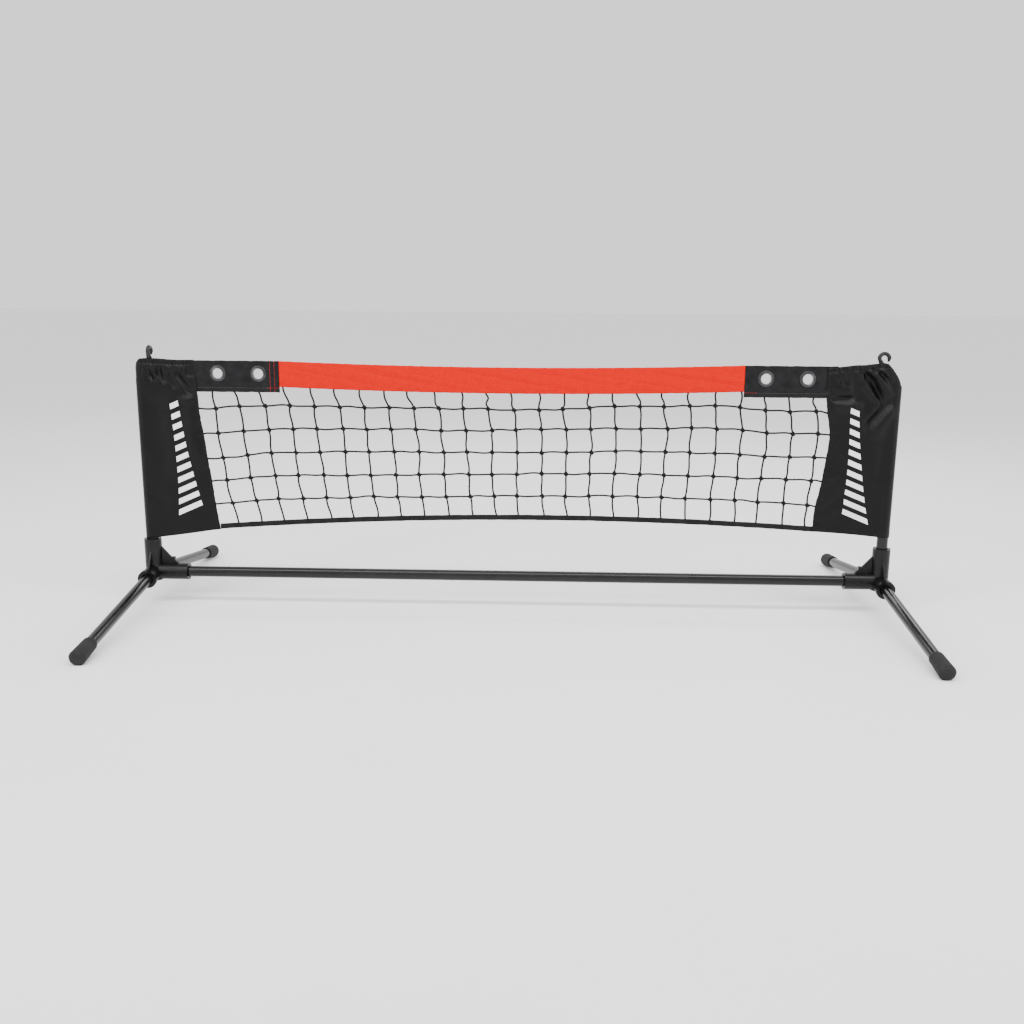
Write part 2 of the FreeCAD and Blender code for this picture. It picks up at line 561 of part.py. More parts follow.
def addEyelets():
    """Front halves with a barrel, and the washers behind, four of each."""
    half = "sizes.cloth_thick / 2"
    bore = "sizes.eyelet_bore / 2"
    barrel = "(sizes.eyelet_bore / 2 + sizes.eyelet_wall)"
    flange = "sizes.eyelet_flange_od / 2"
    fronts = []
    washers = []
    for number, x in enumerate(eyeletPlaces(-1) + eyeletPlaces(1)):
        flat = ring(f"flange_{number}", flange, bore, x, f"-{half} - sizes.eyelet_flange",
                    "sizes.eyelet_flange")
        pipe = ring(f"barrel_{number}", barrel, bore, x, f"-{half}",
                    "sizes.cloth_thick + sizes.eyelet_flange")
        front = doc.addObject("Part::Fuse", f"eyelet_{number}")
        front.Base = flat
        front.Tool = pipe
        fronts.append(front)
        washers.append(ring(f"washer_{number}", flange, barrel, x, half, "sizes.eyelet_flange"))
    for label, rings in (("eyelets", fronts), ("eyelet_washers", washers)):
        group = doc.addObject("Part::Compound", label)
        group.Label = label
        group.Links = rings


def addNet(trimmers):
    """Top tape, end bands, bottom band and the knotted net between them."""
    tape_angle = f"2 * asin({TAPE_HALF} / {TAPE_RADIUS})"
    tape = addBow("top_tape", "sizes.tape_shift", f"{TAPE_TOP} - sizes.tape_sag", "sizes.tape_height",
                  TAPE_RADIUS, False, tape_angle)
    half = "sizes.cloth_thick / 2"
    blanks = []
    for word, side in SIDES.items():
        outer = f"({BLANK_HALF} + 10)"
        inner = f"{side} * {TAPE_HALF} + sizes.tape_shift"
        ends = (inner, outer) if side > 0 else (f"-{outer}", inner)
        blank = addBlock(word + "_band_blank",
                         (ends[0], f"-{half}", f"{TAPE_TOP} - sizes.band_height"),
                         (ends[1], half, TAPE_TOP))
        holes = []
        for step, x in enumerate(eyeletPlaces(side)):
            hole = doc.addObject("Part::Cylinder", f"{word}_band_hole_{step}")
            hole.setExpression("Radius", "sizes.eyelet_bore / 2 + sizes.eyelet_wall")
            hole.setExpression("Height", "4 * sizes.cloth_thick")
            place(hole, x=x, y="-2 * sizes.cloth_thick", z=EYELET_HEIGHT, axis=(1, 0, 0),
                  angle="-90 deg")
            holes.append(hole)
        cutAway(word + "_end_band", blank, tape, trimmers[word], *holes)
        blanks.append(blank)
    middle_top = f"{BOTTOM_TOP} + sizes.bottom_rise"
    hem_blank = addBow("bottom_band_blank", "sizes.bottom_shift", middle_top, "sizes.bottom_band_height",
                       BOTTOM_RADIUS, True, BOTTOM_ANGLE)
    # the bow is even about its highest place, so its nearer end runs on past the post
    near = "sizes.post_spacing / 2"
    far = f"({BOTTOM_SPAN} + 2 * abs(sizes.bottom_shift))"
    beyond = [addBlock(word + "_past_the_post", (low_x, f"-{half}", BOTTOM_TOP + " - 3 * sizes.mesh_height"),
                       (high_x, half, f"{middle_top} + sizes.mesh_height"))
              for word, low_x, high_x in (("left", f"-{far}", f"-{near}"), ("right", near, far))]
    cutAway("bottom_band", hem_blank, *trimmers.values(), *beyond)
    below = addBow("below_the_net", "sizes.bottom_shift", middle_top, "3 * sizes.mesh_height",
                   BOTTOM_RADIUS, True, BOTTOM_ANGLE)

    lattice = newBody("twine_lattice")
    plate = newSketch(lattice, "twine_plate", "XZ_Plane")
    low = f"({LOW_ROW} - 2 * sizes.mesh_height)"
    high = f"{TAPE_TOP} - sizes.tape_height / 2"
    addPolygon(plate, [(BLANK_HALF, low), (BLANK_HALF, high), (f"-{BLANK_HALF}", high),
                       (f"-{BLANK_HALF}", low)])
    pad(lattice, plate, "sizes.twine", "twine_sheet", midplane=True)
    rows = int(evaluate(MESH_ROWS))
    meshes = newSketch(lattice, "mesh_column", "XZ_Plane")
    first = f"(-({MESH_COLUMNS} + 1) / 2 * sizes.mesh_width)"
    left = f"{first} + sizes.twine / 2"
    right = f"{first} + sizes.mesh_width - sizes.twine / 2"
    for row in range(rows + 1):
        foot = f"{LOW_ROW} + ({row} - 1) * sizes.mesh_height + sizes.twine / 2"
        head = f"{LOW_ROW} + {row} * sizes.mesh_height - sizes.twine / 2"
        if row == 0:
            foot = f"{low} - 1"
        if row == rows:
            head = f"{high} + 1"
        addPolygon(meshes, [(left, foot), (right, foot), (right, head), (left, head)])
    column = pocketThrough(lattice, meshes, "mesh_column_cut")
    repeat = lattice.newObject("PartDesign::LinearPattern", "mesh_columns_cut")
    repeat.Originals = [column]
    repeat.Direction = (meshes, ["H_Axis"])
    repeat.setExpression("Length", f"{MESH_COLUMNS} * sizes.mesh_width")
    repeat.setExpression("Occurrences", f"{MESH_COLUMNS} + 1")
    lattice.Tip = repeat
    cutAway("net_mesh", lattice, tape, *blanks, below, *trimmers.values())


for word, side in SIDES.items():
    addConnector(word + "_connector", side)
    addPost(word, side)
addCrossbar()
for end, way in ENDS.items():
    for word, side in SIDES.items():
        addLeg(f"{end}_{word}", side, way)
addHook("right", 1, "0 deg")
addHook("left", -1, "sizes.left_hook_turn * 1 deg")
trimmers = {word: addSleeve(word, side) for word, side in SIDES.items()}
addNet(trimmers)
addEyelets()
doc.recompute()

NODES = (["left_connector", "right_connector", "crossbar_left", "crossbar_middle", "crossbar_right",
          "left_ferrule", "right_ferrule", "left_post", "right_post", "left_post_cap", "right_post_cap",
          "left_hook", "right_hook"]
         + [f"{end}_{word}_{piece}" for end in ENDS for word in SIDES for piece in ("leg", "foot")]
         + ["left_sleeve", "right_sleeve", "left_hem_elastic", "right_hem_elastic", "left_end_band",
            "right_end_band", "top_tape", "bottom_band", "net_mesh", "eyelets", "eyelet_washers"])

failed = [item.Label for item in doc.Objects if {"Invalid", "Error"} & set(item.State)]
if failed:
    raise RuntimeError("these objects failed: " + ", ".join(failed))
shapes = {}
for label in NODES:
    shape = doc.getObjectsByLabel(label)[0].Shape
    if shape.isNull() or not shape.isValid() or not shape.Solids:
        raise RuntimeError(label + " has no valid solid")
    shapes[label] = shape

os.makedirs("parts", exist_ok=True)
for label, shape in shapes.items():
    shape.exportStep(f"parts/{label}.step")
    box = shape.optimalBoundingBox(False)
    print(f"{label:22s} solids {len(shape.Solids)} volume {shape.Volume:10.0f}  "
          f"x {box.XMin:8.1f} {box.XMax:8.1f}  y {box.YMin:8.1f} {box.YMax:8.1f}  "
          f"z {box.ZMin:7.1f} {box.ZMax:7.1f}")
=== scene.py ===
import math
import random

import bmesh
import bpy
import numpy
from mathutils import Matrix, Vector
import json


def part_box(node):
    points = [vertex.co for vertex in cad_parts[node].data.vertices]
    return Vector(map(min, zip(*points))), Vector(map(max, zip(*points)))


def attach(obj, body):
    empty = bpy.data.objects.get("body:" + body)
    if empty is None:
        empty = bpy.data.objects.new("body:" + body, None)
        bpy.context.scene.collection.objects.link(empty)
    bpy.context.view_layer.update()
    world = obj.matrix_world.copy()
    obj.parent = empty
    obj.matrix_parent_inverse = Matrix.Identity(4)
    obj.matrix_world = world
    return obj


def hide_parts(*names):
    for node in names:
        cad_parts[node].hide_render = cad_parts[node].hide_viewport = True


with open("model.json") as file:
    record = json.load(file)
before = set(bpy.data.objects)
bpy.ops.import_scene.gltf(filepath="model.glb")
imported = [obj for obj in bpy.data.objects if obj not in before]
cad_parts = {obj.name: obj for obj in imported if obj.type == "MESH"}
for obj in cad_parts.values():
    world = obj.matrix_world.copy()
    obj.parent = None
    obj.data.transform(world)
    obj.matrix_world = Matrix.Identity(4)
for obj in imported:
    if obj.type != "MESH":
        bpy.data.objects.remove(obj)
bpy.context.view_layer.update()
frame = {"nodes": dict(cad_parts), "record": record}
nodes = frame["nodes"]
scene = bpy.context.scene
print("frame loaded")

# the camera and the light

eye = {"place": (0.0492, -2.0691, 0.645), "turn": 1.49, "tilt": 12.067, "roll": 0.459,
       "lens": 36.4, "film": 36.0}


def makeCamera():
    turn, tilt, roll = (math.radians(eye[word]) for word in ("turn", "tilt", "roll"))
    ahead = Vector((-math.sin(turn) * math.cos(tilt), math.cos(turn) * math.cos(tilt), -math.sin(tilt)))
    level = Vector((math.cos(turn), math.sin(turn), 0))
    up = level.cross(ahead)
    right = math.cos(roll) * level + math.sin(roll) * up
    top = math.cos(roll) * up - math.sin(roll) * level
    data = bpy.data.cameras.new("camera")
    data.lens = eye["lens"]
    data.sensor_width = eye["film"]
    camera = bpy.data.objects.new("camera", data)
    camera.matrix_world = Matrix((right, top, -ahead)).transposed().to_4x4()
    camera.location = eye["place"]
    scene.collection.objects.link(camera)
    scene.camera = camera


studio = {
    "above": {"place": (0.1, -0.9, 2.2), "aim": (0, 0, 0.2), "size": (3.4, 0.5), "power": 62},
    "frontLeft": {"place": (-2.2, -2.2, 1.7), "aim": (0, 0, 0.25), "size": (0.7, 1.6), "power": 30},
    "frontRight": {"place": (2.4, -1.7, 1.4), "aim": (0.2, 0, 0.25), "size": (0.5, 1.6), "power": 22},
    "behind": {"place": (0.3, 2.3, 1.8), "aim": (0, 0, 0.2), "size": (2.8, 0.5), "power": 24},
    "sky": (1, 1, 1), "skyStrength": 1.3,
}


def makeStudio():
    for name in ("above", "frontLeft", "frontRight", "behind"):
        lamp = studio[name]
        data = bpy.data.lights.new(name, "AREA")
        data.shape = "RECTANGLE"
        data.size, data.size_y = lamp["size"]
        data.energy = lamp["power"]
        light = bpy.data.objects.new(name, data)
        light.location = lamp["place"]
        aim = Vector(lamp["aim"]) - Vector(lamp["place"])
        light.rotation_euler = aim.to_track_quat("-Z", "Y").to_euler()
        scene.collection.objects.link(light)
    world = bpy.data.worlds.new("studio")
    world.use_nodes = True
    world.node_tree.nodes["Background"].inputs["Color"].default_value = (*studio["sky"], 1)
    world.node_tree.nodes["Background"].inputs["Strength"].default_value = studio["skyStrength"]
    scene.world = world


makeCamera()
makeStudio()
print("camera and light")

# materials


def newMaterial(name, colour, roughness, **sockets):
    material = bpy.data.materials.new(name)
    material.use_nodes = True
    shader = material.node_tree.nodes["Principled BSDF"]
    shader.inputs["Base Color"].default_value = (*colour, 1)
    shader.inputs["Roughness"].default_value = roughness
    for label, value in sockets.items():
        shader.inputs[label.replace("_", " ")].default_value = value
    return material, material.node_tree, shader


def addNode(tree, kind, values=None, **settings):
    made = tree.nodes.new(kind)
    for label, value in settings.items():
        setattr(made, label, value)
    for label, value in (values or {}).items():
        made.inputs[label].default_value = value
    return made


def noiseOn(tree, source, scale, detail=3.0, roughness=0.55):
    texture = addNode(tree, "ShaderNodeTexNoise", {"Scale": scale, "Detail": detail, "Roughness": roughness})
    tree.links.new(source, texture.inputs["Vector"])
    return texture.outputs["Fac"]


def spread(tree, fac, low, high):
    mapper = addNode(tree, "ShaderNodeMapRange", {"From Min": 0.3, "From Max": 0.7,
                                                   "To Min": low, "To Max": high})
    tree.links.new(fac, mapper.inputs["Value"])
    return mapper.outputs["Result"]


def mixColour(tree, fac, first, second):
    mix = addNode(tree, "ShaderNodeMix", data_type="RGBA")
    for socket, value in ((mix.inputs[6], first), (mix.inputs[7], second)):
        if isinstance(value, tuple):
            socket.default_value = (*value, 1)
        else:
            tree.links.new(value, socket)
    tree.links.new(fac, mix.inputs[0])
    return mix.outputs[2]


def bumpFrom(tree, shader, height, strength, distance):
    bump = addNode(tree, "ShaderNodeBump", {"Strength": strength, "Distance": distance})
    tree.links.new(height, bump.inputs["Height"])
    tree.links.new(bump.outputs["Normal"], shader.inputs["Normal"])


def mathOn(tree, operation, first, second=None):
    made = addNode(tree, "ShaderNodeMath", operation=operation)
    for socket, value in zip(made.inputs, (first, second)):
        if value is None:
            continue
        if isinstance(value, (int, float)):
            socket.default_value = value
        else:
            tree.links.new(value, socket)
    return made.outputs["Value"]


def objectPlace(tree):
    return addNode(tree, "ShaderNodeTexCoord").outputs["Object"]


def surfaceMap(tree):
    return addNode(tree, "ShaderNodeTexCoord").outputs["UV"]


def coatedMetal(name, colour, roughness, grain, depth):
    material, tree, shader = newMaterial(name, colour, roughness, Specular_IOR_Level=0.3)
    place = objectPlace(tree)
    broad = noiseOn(tree, place, 14, 4)
    fine = noiseOn(tree, place, grain, 2)
    tree.links.new(spread(tree, broad, roughness - 0.06, roughness + 0.07), shader.inputs["Roughness"])
    worn = tuple(value * 2 + 0.002 for value in colour)
    tree.links.new(mixColour(tree, spread(tree, noiseOn(tree, place, 60, 5), 0, 0.6), colour, worn),
                   shader.inputs["Base Color"])
    bumpFrom(tree, shader, fine, 0.15, depth)
    return material


def mouldedPlastic(name, colour, roughness):
    material, tree, shader = newMaterial(name, colour, roughness, Specular_IOR_Level=0.22)
    place = objectPlace(tree)
    flow = noiseOn(tree, place, 22, 4)
    skin = noiseOn(tree, place, 1500, 2)
    tree.links.new(spread(tree, flow, roughness - 0.06, roughness + 0.08), shader.inputs["Roughness"])
    paler = tuple(value * 2 + 0.002 for value in colour)
    tree.links.new(mixColour(tree, spread(tree, noiseOn(tree, place, 90, 4), 0, 0.7), colour, paler),
                   shader.inputs["Base Color"])
    bumpFrom(tree, shader, skin, 0.25, 0.0002)
    return material


def rubber(name, colour):
    material, tree, shader = newMaterial(name, colour, 0.8, Specular_IOR_Level=0.15)
    place = objectPlace(tree)
    dust = noiseOn(tree, place, 35, 5, 0.65)
    paler = tuple(value * 1.7 + 0.006 for value in colour)
    tree.links.new(mixColour(tree, spread(tree, dust, 0, 1), colour, paler), shader.inputs["Base Color"])
    tree.links.new(spread(tree, dust, 0.68, 0.88), shader.inputs["Roughness"])
    bumpFrom(tree, shader, noiseOn(tree, place, 900, 3), 0.5, 0.0003)
    return material


materials = {
    "smoothCoat": coatedMetal("smooth_black_coat", (0.003, 0.003, 0.0033), 0.2, 700, 0.0001),
    "rougherCoat": coatedMetal("rougher_black_coat", (0.004, 0.004, 0.0043), 0.28, 420, 0.0003),
    "moulded": mouldedPlastic("moulded_black", (0.0025, 0.0025, 0.0028), 0.3),
    "hook": mouldedPlastic("hook_plastic", (0.012, 0.012, 0.0135), 0.3),
    "foot": rubber("foot_rubber", (0.012, 0.012, 0.012)),
    "plated": newMaterial("plated_steel", (0.5, 0.5, 0.52), 0.35, Metallic=1.0)[0],
}


def paint(obj, material):
    obj.data.materials.clear()
    obj.data.materials.append(material)


def paintFrame():
    wanted = {"crossbar_left": "smoothCoat", "crossbar_right": "smoothCoat", "crossbar_middle": "rougherCoat"}
    for name, obj in nodes.items():
        key = wanted.get(name)
        if name.endswith(("connector", "post_cap")):
            key = "moulded"
        elif name.endswith(("_leg", "_post")):
            key = "smoothCoat"
        elif name.endswith("_foot"):
            key = "foot"
        elif name.endswith("_hook"):
            key = "hook"
        elif name.endswith("_ferrule"):
            key = "plated"
        if key:
            paint(obj, materials[key])


paintFrame()
print("frame painted")

# helpers for the soft pieces and for what repeats on them


def lineThrough(points, at):
    # a smooth line through (place, value) pairs, read at each place in at
    places = numpy.array([pair[0] for pair in points], float)
    values = numpy.array([pair[1] for pair in points], float)
    slopes = numpy.gradient(values, places)
    at = numpy.clip(numpy.asarray(at, float), places[0], places[-1])
    i = numpy.clip(numpy.searchsorted(places, at) - 1, 0, len(places) - 2)
    gap = places[i + 1] - places[i]
    f = (at - places[i]) / gap
    return ((2 * f**3 - 3 * f**2 + 1) * values[i] + (f**3 - 2 * f**2 + f) * gap * slopes[i]
            + (3 * f**2 - 2 * f**3) * values[i + 1] + (f**3 - f**2) * gap * slopes[i + 1])


def waves(at, seed, longest, count=4, growth=1.6, fade=0.75):
    # a smooth uneven line made of a few sines, about -1 to 1
    picks = random.Random(seed)
    total = 0
    for step in range(count):
        total = total + numpy.sin(2 * math.pi * (at * growth**step / longest + picks.random())) * fade**step
    return total / sum(fade**step for step in range(count))


def dip(across, up, points, width, depth):
    # a crease along a chain of points, deepest at its middle; width and depth in metres
    points = [Vector(p) for p in points]
    lengths = [(b - a).length for a, b in zip(points, points[1:])]
    whole = sum(lengths)
    nearest = numpy.full(across.shape, 1e9)
    along = numpy.zeros(across.shape)
    done = 0
    for a, b, length in zip(points, points[1:], lengths):
        way = (b - a) / length
        f = numpy.clip((across - a.x) * way.x + (up - a.y) * way.y, 0, length)
        away = numpy.hypot(across - a.x - way.x * f, up - a.y - way.y * f)
        closer = away < nearest
        nearest = numpy.where(closer, away, nearest)
        along = numpy.where(closer, (done + f) / whole, along)
        done += length
    ends = numpy.clip(1.25 - numpy.abs(along - 0.45) ** 2 * 4.2, 0, 1)
    return depth * numpy.exp(-((nearest / width) ** 2)) * ends


def meshPiece(name, points, faces, material, uv=None):
    mesh = bpy.data.meshes.new(name)
    mesh.from_pydata([tuple(p) for p in points], [], faces)
    mesh.polygons.foreach_set("use_smooth", [True] * len(mesh.polygons))
    if uv is not None:
        layer = mesh.uv_layers.new(name="cut")
        order = numpy.empty(len(mesh.loops), int)
        mesh.loops.foreach_get("vertex_index", order)
        layer.data.foreach_set("uv", numpy.asarray(uv, float)[order].ravel())
    mesh.materials.append(material)
    obj = bpy.data.objects.new(name, mesh)
    scene.collection.objects.link(obj)
    return obj


def gridFaces(rows, columns, closed=False, skip=()):
    faces = []
    for j in range(rows - 1):
        for i in range(columns if closed else columns - 1):
            k = (i + 1) % columns
            if (j, i) not in skip:
                faces.append((j * columns + i, j * columns + k, (j + 1) * columns + k, (j + 1) * columns + i))
    return faces


def thicken(obj, thickness, offset):
    solid = obj.modifiers.new("thickness", "SOLIDIFY")
    solid.thickness = thickness
    solid.offset = offset
    solid.use_even_offset = True
    makePlain(obj)


def makePlain(obj):
    # the modifiers' result becomes the object's own mesh
    bpy.context.view_layer.update()
    plain = bpy.data.meshes.new_from_object(obj.evaluated_get(bpy.context.evaluated_depsgraph_get()))
    obj.modifiers.clear()
    obj.data = plain


def newTree(name, inputs):
    # a geometry tree with a mesh going in and out, and named sizes
    tree = bpy.data.node_groups.new(name, "GeometryNodeTree")
    tree.interface.new_socket("Geometry", in_out="OUTPUT", socket_type="NodeSocketGeometry")
    tree.interface.new_socket("Geometry", in_out="INPUT", socket_type="NodeSocketGeometry")
    for label, kind in inputs.items():
        tree.interface.new_socket(label, in_out="INPUT", socket_type="NodeSocket" + kind)
    return tree, addNode(tree, "NodeGroupInput"), addNode(tree, "NodeGroupOutput")


def finishTree(tree, source, sink, geometry):
    whole = addNode(tree, "GeometryNodeRealizeInstances")
    finish = addNode(tree, "GeometryNodeSetMaterial")
    link(tree, geometry, whole, 0)
    link(tree, whole, finish, "Geometry")
    link(tree, source.outputs["Material"], finish, "Material")
    link(tree, finish, sink, 0)
    return tree


def link(tree, source, target, socket):
    if hasattr(source, "outputs"):
        source = source.outputs[0]
    tree.links.new(source, target.inputs[socket])


def growOn(name, chains, tree, values, material, knots=()):
    # chains of points, run through a tree, made a plain mesh
    points, edges = [], []
    for chain in chains:
        first = len(points)
        points += [tuple(p) for p in chain]
        edges += [(k, k + 1) for k in range(first, len(points) - 1)]
    mesh = bpy.data.meshes.new(name)
    mesh.from_pydata(points, edges, [])
    if knots:
        marks = mesh.attributes.new("knot", "BOOLEAN", "POINT")
        marks.data.foreach_set("value", [index in knots for index in range(len(points))])
    obj = bpy.data.objects.new(name, mesh)
    scene.collection.objects.link(obj)
    modifier = obj.modifiers.new(name, "NODES")
    modifier.node_group = tree
    values = dict(values, Material=material)
    for socket in tree.interface.items_tree:
        if socket.in_out == "INPUT" and socket.name in values:
            modifier[socket.identifier] = values[socket.name]
    makePlain(obj)
    obj.data.polygons.foreach_set("use_smooth", [True] * len(obj.data.polygons))
    return obj


def makeStitchTree():
    # short threads laid end to end along each chain
    tree, source, sink = newTree("stitches", {"Pitch": "Float", "Thread": "Float", "Share": "Float",
                                              "Material": "Material"})
    curve = addNode(tree, "GeometryNodeMeshToCurve")
    spaced = addNode(tree, "GeometryNodeResampleCurve", mode="LENGTH")
    tangent = addNode(tree, "GeometryNodeInputTangent")
    turn = addNode(tree, "FunctionNodeAlignRotationToVector", axis="Z")
    thread = addNode(tree, "GeometryNodeMeshUVSphere", {"Segments": 6, "Rings": 4, "Radius": 0.5})
    half = addNode(tree, "ShaderNodeMath", operation="MULTIPLY")
    shape = addNode(tree, "ShaderNodeCombineXYZ")
    copies = addNode(tree, "GeometryNodeInstanceOnPoints")
    link(tree, source.outputs["Geometry"], curve, "Mesh")
    link(tree, curve, spaced, "Curve")
    link(tree, source.outputs["Pitch"], spaced, "Length")
    link(tree, tangent, turn, "Vector")
    link(tree, source.outputs["Pitch"], half, 0)
    link(tree, source.outputs["Share"], half, 1)
    link(tree, source.outputs["Thread"], shape, "X")
    link(tree, source.outputs["Thread"], shape, "Y")
    link(tree, half, shape, "Z")
    link(tree, spaced, copies, "Points")
    link(tree, thread, copies, "Instance")
    link(tree, turn, copies, "Rotation")
    link(tree, shape, copies, "Scale")
    return finishTree(tree, source, sink, copies)


def makeNetTree():
    # twine along each chain, and a knot at each marked point
    tree, source, sink = newTree("knottedNet", {"Twine": "Float", "Sides": "Int", "Knot": "Object",
                                                "Knot size": "Float", "Knot seed": "Int",
                                                "Material": "Material"})
    curve = addNode(tree, "GeometryNodeMeshToCurve")
    half = addNode(tree, "ShaderNodeMath", {1: 0.5}, operation="MULTIPLY")
    section = addNode(tree, "GeometryNodeCurvePrimitiveCircle")
    twine = addNode(tree, "GeometryNodeCurveToMesh", {"Fill Caps": True})
    mark = addNode(tree, "GeometryNodeInputNamedAttribute", {"Name": "knot"}, data_type="BOOLEAN")
    places = addNode(tree, "GeometryNodeMeshToPoints")
    knot = addNode(tree, "GeometryNodeObjectInfo")
    turn = addNode(tree, "FunctionNodeRandomValue", data_type="FLOAT_VECTOR")
    turn.inputs["Min"].default_value = (-0.35, 0.3, -0.3)
    turn.inputs["Max"].default_value = (0.35, 1.1, 0.3)
    copies = addNode(tree, "GeometryNodeInstanceOnPoints")
    both = addNode(tree, "GeometryNodeJoinGeometry")
    link(tree, source.outputs["Geometry"], curve, "Mesh")
    link(tree, source.outputs["Twine"], half, 0)
    link(tree, half, section, "Radius")
    link(tree, source.outputs["Sides"], section, "Resolution")
    link(tree, curve, twine, "Curve")
    link(tree, section, twine, "Profile Curve")
    link(tree, source.outputs["Geometry"], places, "Mesh")
    link(tree, mark, places, "Selection")
    link(tree, source.outputs["Knot"], knot, "Object")
    link(tree, source.outputs["Knot seed"], turn, "Seed")
    link(tree, places, copies, "Points")
    link(tree, knot.outputs["Geometry"], copies, "Instance")
    link(tree, turn, copies, "Rotation")
    link(tree, source.outputs["Knot size"], copies, "Scale")
    link(tree, twine, both, 0)
    link(tree, copies, both, 0)
    return finishTree(tree, source, sink, both)


stitchTree = makeStitchTree()
netTree = makeNetTree()

# cloth materials


def weave(tree, place, across, up):
    # threads over and under, each way
    mapping = addNode(tree, "ShaderNodeMapping")
    mapping.inputs["Scale"].default_value = (1 / across, 1 / up, 1)
    tree.links.new(place, mapping.inputs["Vector"])
    parts = addNode(tree, "ShaderNodeSeparateXYZ")
    tree.links.new(mapping.outputs["Vector"], parts.inputs["Vector"])
    warp = mathOn(tree, "SINE", mathOn(tree, "MULTIPLY", parts.outputs["X"], 2 * math.pi))
    weft = mathOn(tree, "SINE", mathOn(tree, "MULTIPLY", parts.outputs["Y"], 2 * math.pi))
    return mathOn(tree, "MULTIPLY", warp, weft)


def woven(name, colour, lighter, roughness, thread, depth, sheen=0.0):
    material, tree, shader = newMaterial(name, colour, roughness, Sheen_Weight=sheen, Sheen_Roughness=0.4,
                                         Specular_IOR_Level=0.03)
    place = surfaceMap(tree)
    pattern = weave(tree, place, *thread)
    uneven = noiseOn(tree, place, 55, 4)
    shade = mathOn(tree, "ADD", mathOn(tree, "MULTIPLY", pattern, 0.22), spread(tree, uneven, 0.15, 0.85))
    tree.links.new(mixColour(tree, shade, colour, lighter), shader.inputs["Base Color"])
    tree.links.new(spread(tree, uneven, roughness - 0.05, roughness + 0.06), shader.inputs["Roughness"])
    bumpFrom(tree, shader, pattern, 0.5, depth)
    return material


def plain(name, colour, roughness, scale=400):
    material, tree, shader = newMaterial(name, colour, roughness, Specular_IOR_Level=0.12)
    place = objectPlace(tree)
    paler = tuple(value * 1.5 + 0.006 for value in colour)
    tree.links.new(mixColour(tree, spread(tree, noiseOn(tree, place, scale, 3), 0, 1), colour, paler),
                   shader.inputs["Base Color"])
    return material


barPrint = {"top": 0.4305, "low": 0.1995, "pitch": 0.021, "duty": 0.52, "slant": 0.42,
            "halfTop": 0.0085, "widening": 0.017, "flare": 2.2, "white": (0.86, 0.86, 0.85)}


def sleeveCloth(name, axisTop, axisLow):
    # shiny coated nylon, with a column of plain slanted bars printed on the front
    material, tree, shader = newMaterial(name, (0.004, 0.004, 0.0045), 0.36, Specular_IOR_Level=0.18,
                                         Sheen_Weight=0.02, Sheen_Roughness=0.35)
    place = surfaceMap(tree)
    pattern = weave(tree, place, 0.00075, 0.00075)
    uneven = noiseOn(tree, objectPlace(tree), 26, 5)
    parts = addNode(tree, "ShaderNodeSeparateXYZ")
    tree.links.new(place, parts.inputs["Vector"])
    across, up = parts.outputs["X"], parts.outputs["Y"]
    span = barPrint["top"] - barPrint["low"]
    share = mathOn(tree, "DIVIDE", mathOn(tree, "SUBTRACT", barPrint["top"], up), span)
    down = mathOn(tree, "MAXIMUM", share, 0)
    centre = mathOn(tree, "ADD", mathOn(tree, "MULTIPLY", down, axisLow - axisTop), axisTop)
    aside = mathOn(tree, "SUBTRACT", across, centre)
    stack = mathOn(tree, "ADD", up, mathOn(tree, "MULTIPLY", aside, barPrint["slant"]))
    step = mathOn(tree, "FRACT", mathOn(tree, "DIVIDE", mathOn(tree, "SUBTRACT", stack, barPrint["low"]),
                                        barPrint["pitch"]))
    inBar = mathOn(tree, "LESS_THAN", step, barPrint["duty"])
    flare = mathOn(tree, "POWER", down, barPrint["flare"])
    reach = mathOn(tree, "ADD", mathOn(tree, "MULTIPLY", flare, barPrint["widening"]), barPrint["halfTop"])
    near = mathOn(tree, "LESS_THAN", mathOn(tree, "ABSOLUTE", aside), reach)
    # whole bars only
    count = mathOn(tree, "DIVIDE", mathOn(tree, "SUBTRACT", barPrint["top"], stack), span)
    inside = mathOn(tree, "MULTIPLY", mathOn(tree, "GREATER_THAN", count, 0),
                    mathOn(tree, "LESS_THAN", count, 1))
    ink = mathOn(tree, "MULTIPLY", mathOn(tree, "MULTIPLY", inBar, near), inside)
    cloth = mixColour(tree, spread(tree, uneven, 0, 1), (0.0006, 0.0006, 0.0007), (0.0018, 0.0018, 0.002))
    tree.links.new(mixColour(tree, ink, cloth, barPrint["white"]), shader.inputs["Base Color"])
    gloss = mathOn(tree, "ADD", spread(tree, uneven, 0.28, 0.38), mathOn(tree, "MULTIPLY", ink, 0.1))
    tree.links.new(gloss, shader.inputs["Roughness"])
    bumpFrom(tree, shader, pattern, 0.35, 0.00012)
    return material


materials.update({
    "leftCloth": sleeveCloth("left_sleeve_cloth", 0.688, 0.663),
    "rightCloth": sleeveCloth("right_sleeve_cloth", 0.672, 0.687),
    "blackWebbing": woven("black_webbing", (0.009, 0.009, 0.0095), (0.02, 0.02, 0.021), 0.62,
                          (0.0016, 0.0016), 0.0003, 0.03),
    "orangeWebbing": woven("orange_webbing", (0.55, 0.001, 0.0), (0.61, 0.002, 0.0), 0.8,
                           (0.0014, 0.0014), 0.00025, 0.0),
    "twine": plain("net_twine", (0.004, 0.004, 0.004), 0.55),
    "blackThread": plain("black_thread", (0.02, 0.02, 0.021), 0.5),
    "greyThread": plain("grey_thread", (0.06, 0.06, 0.062), 0.6),
    "redThread": plain("red_thread", (0.45, 0.01, 0.015), 0.6),
    "orangeThread": plain("orange_thread", (0.55, 0.006, 0.001), 0.6),
})


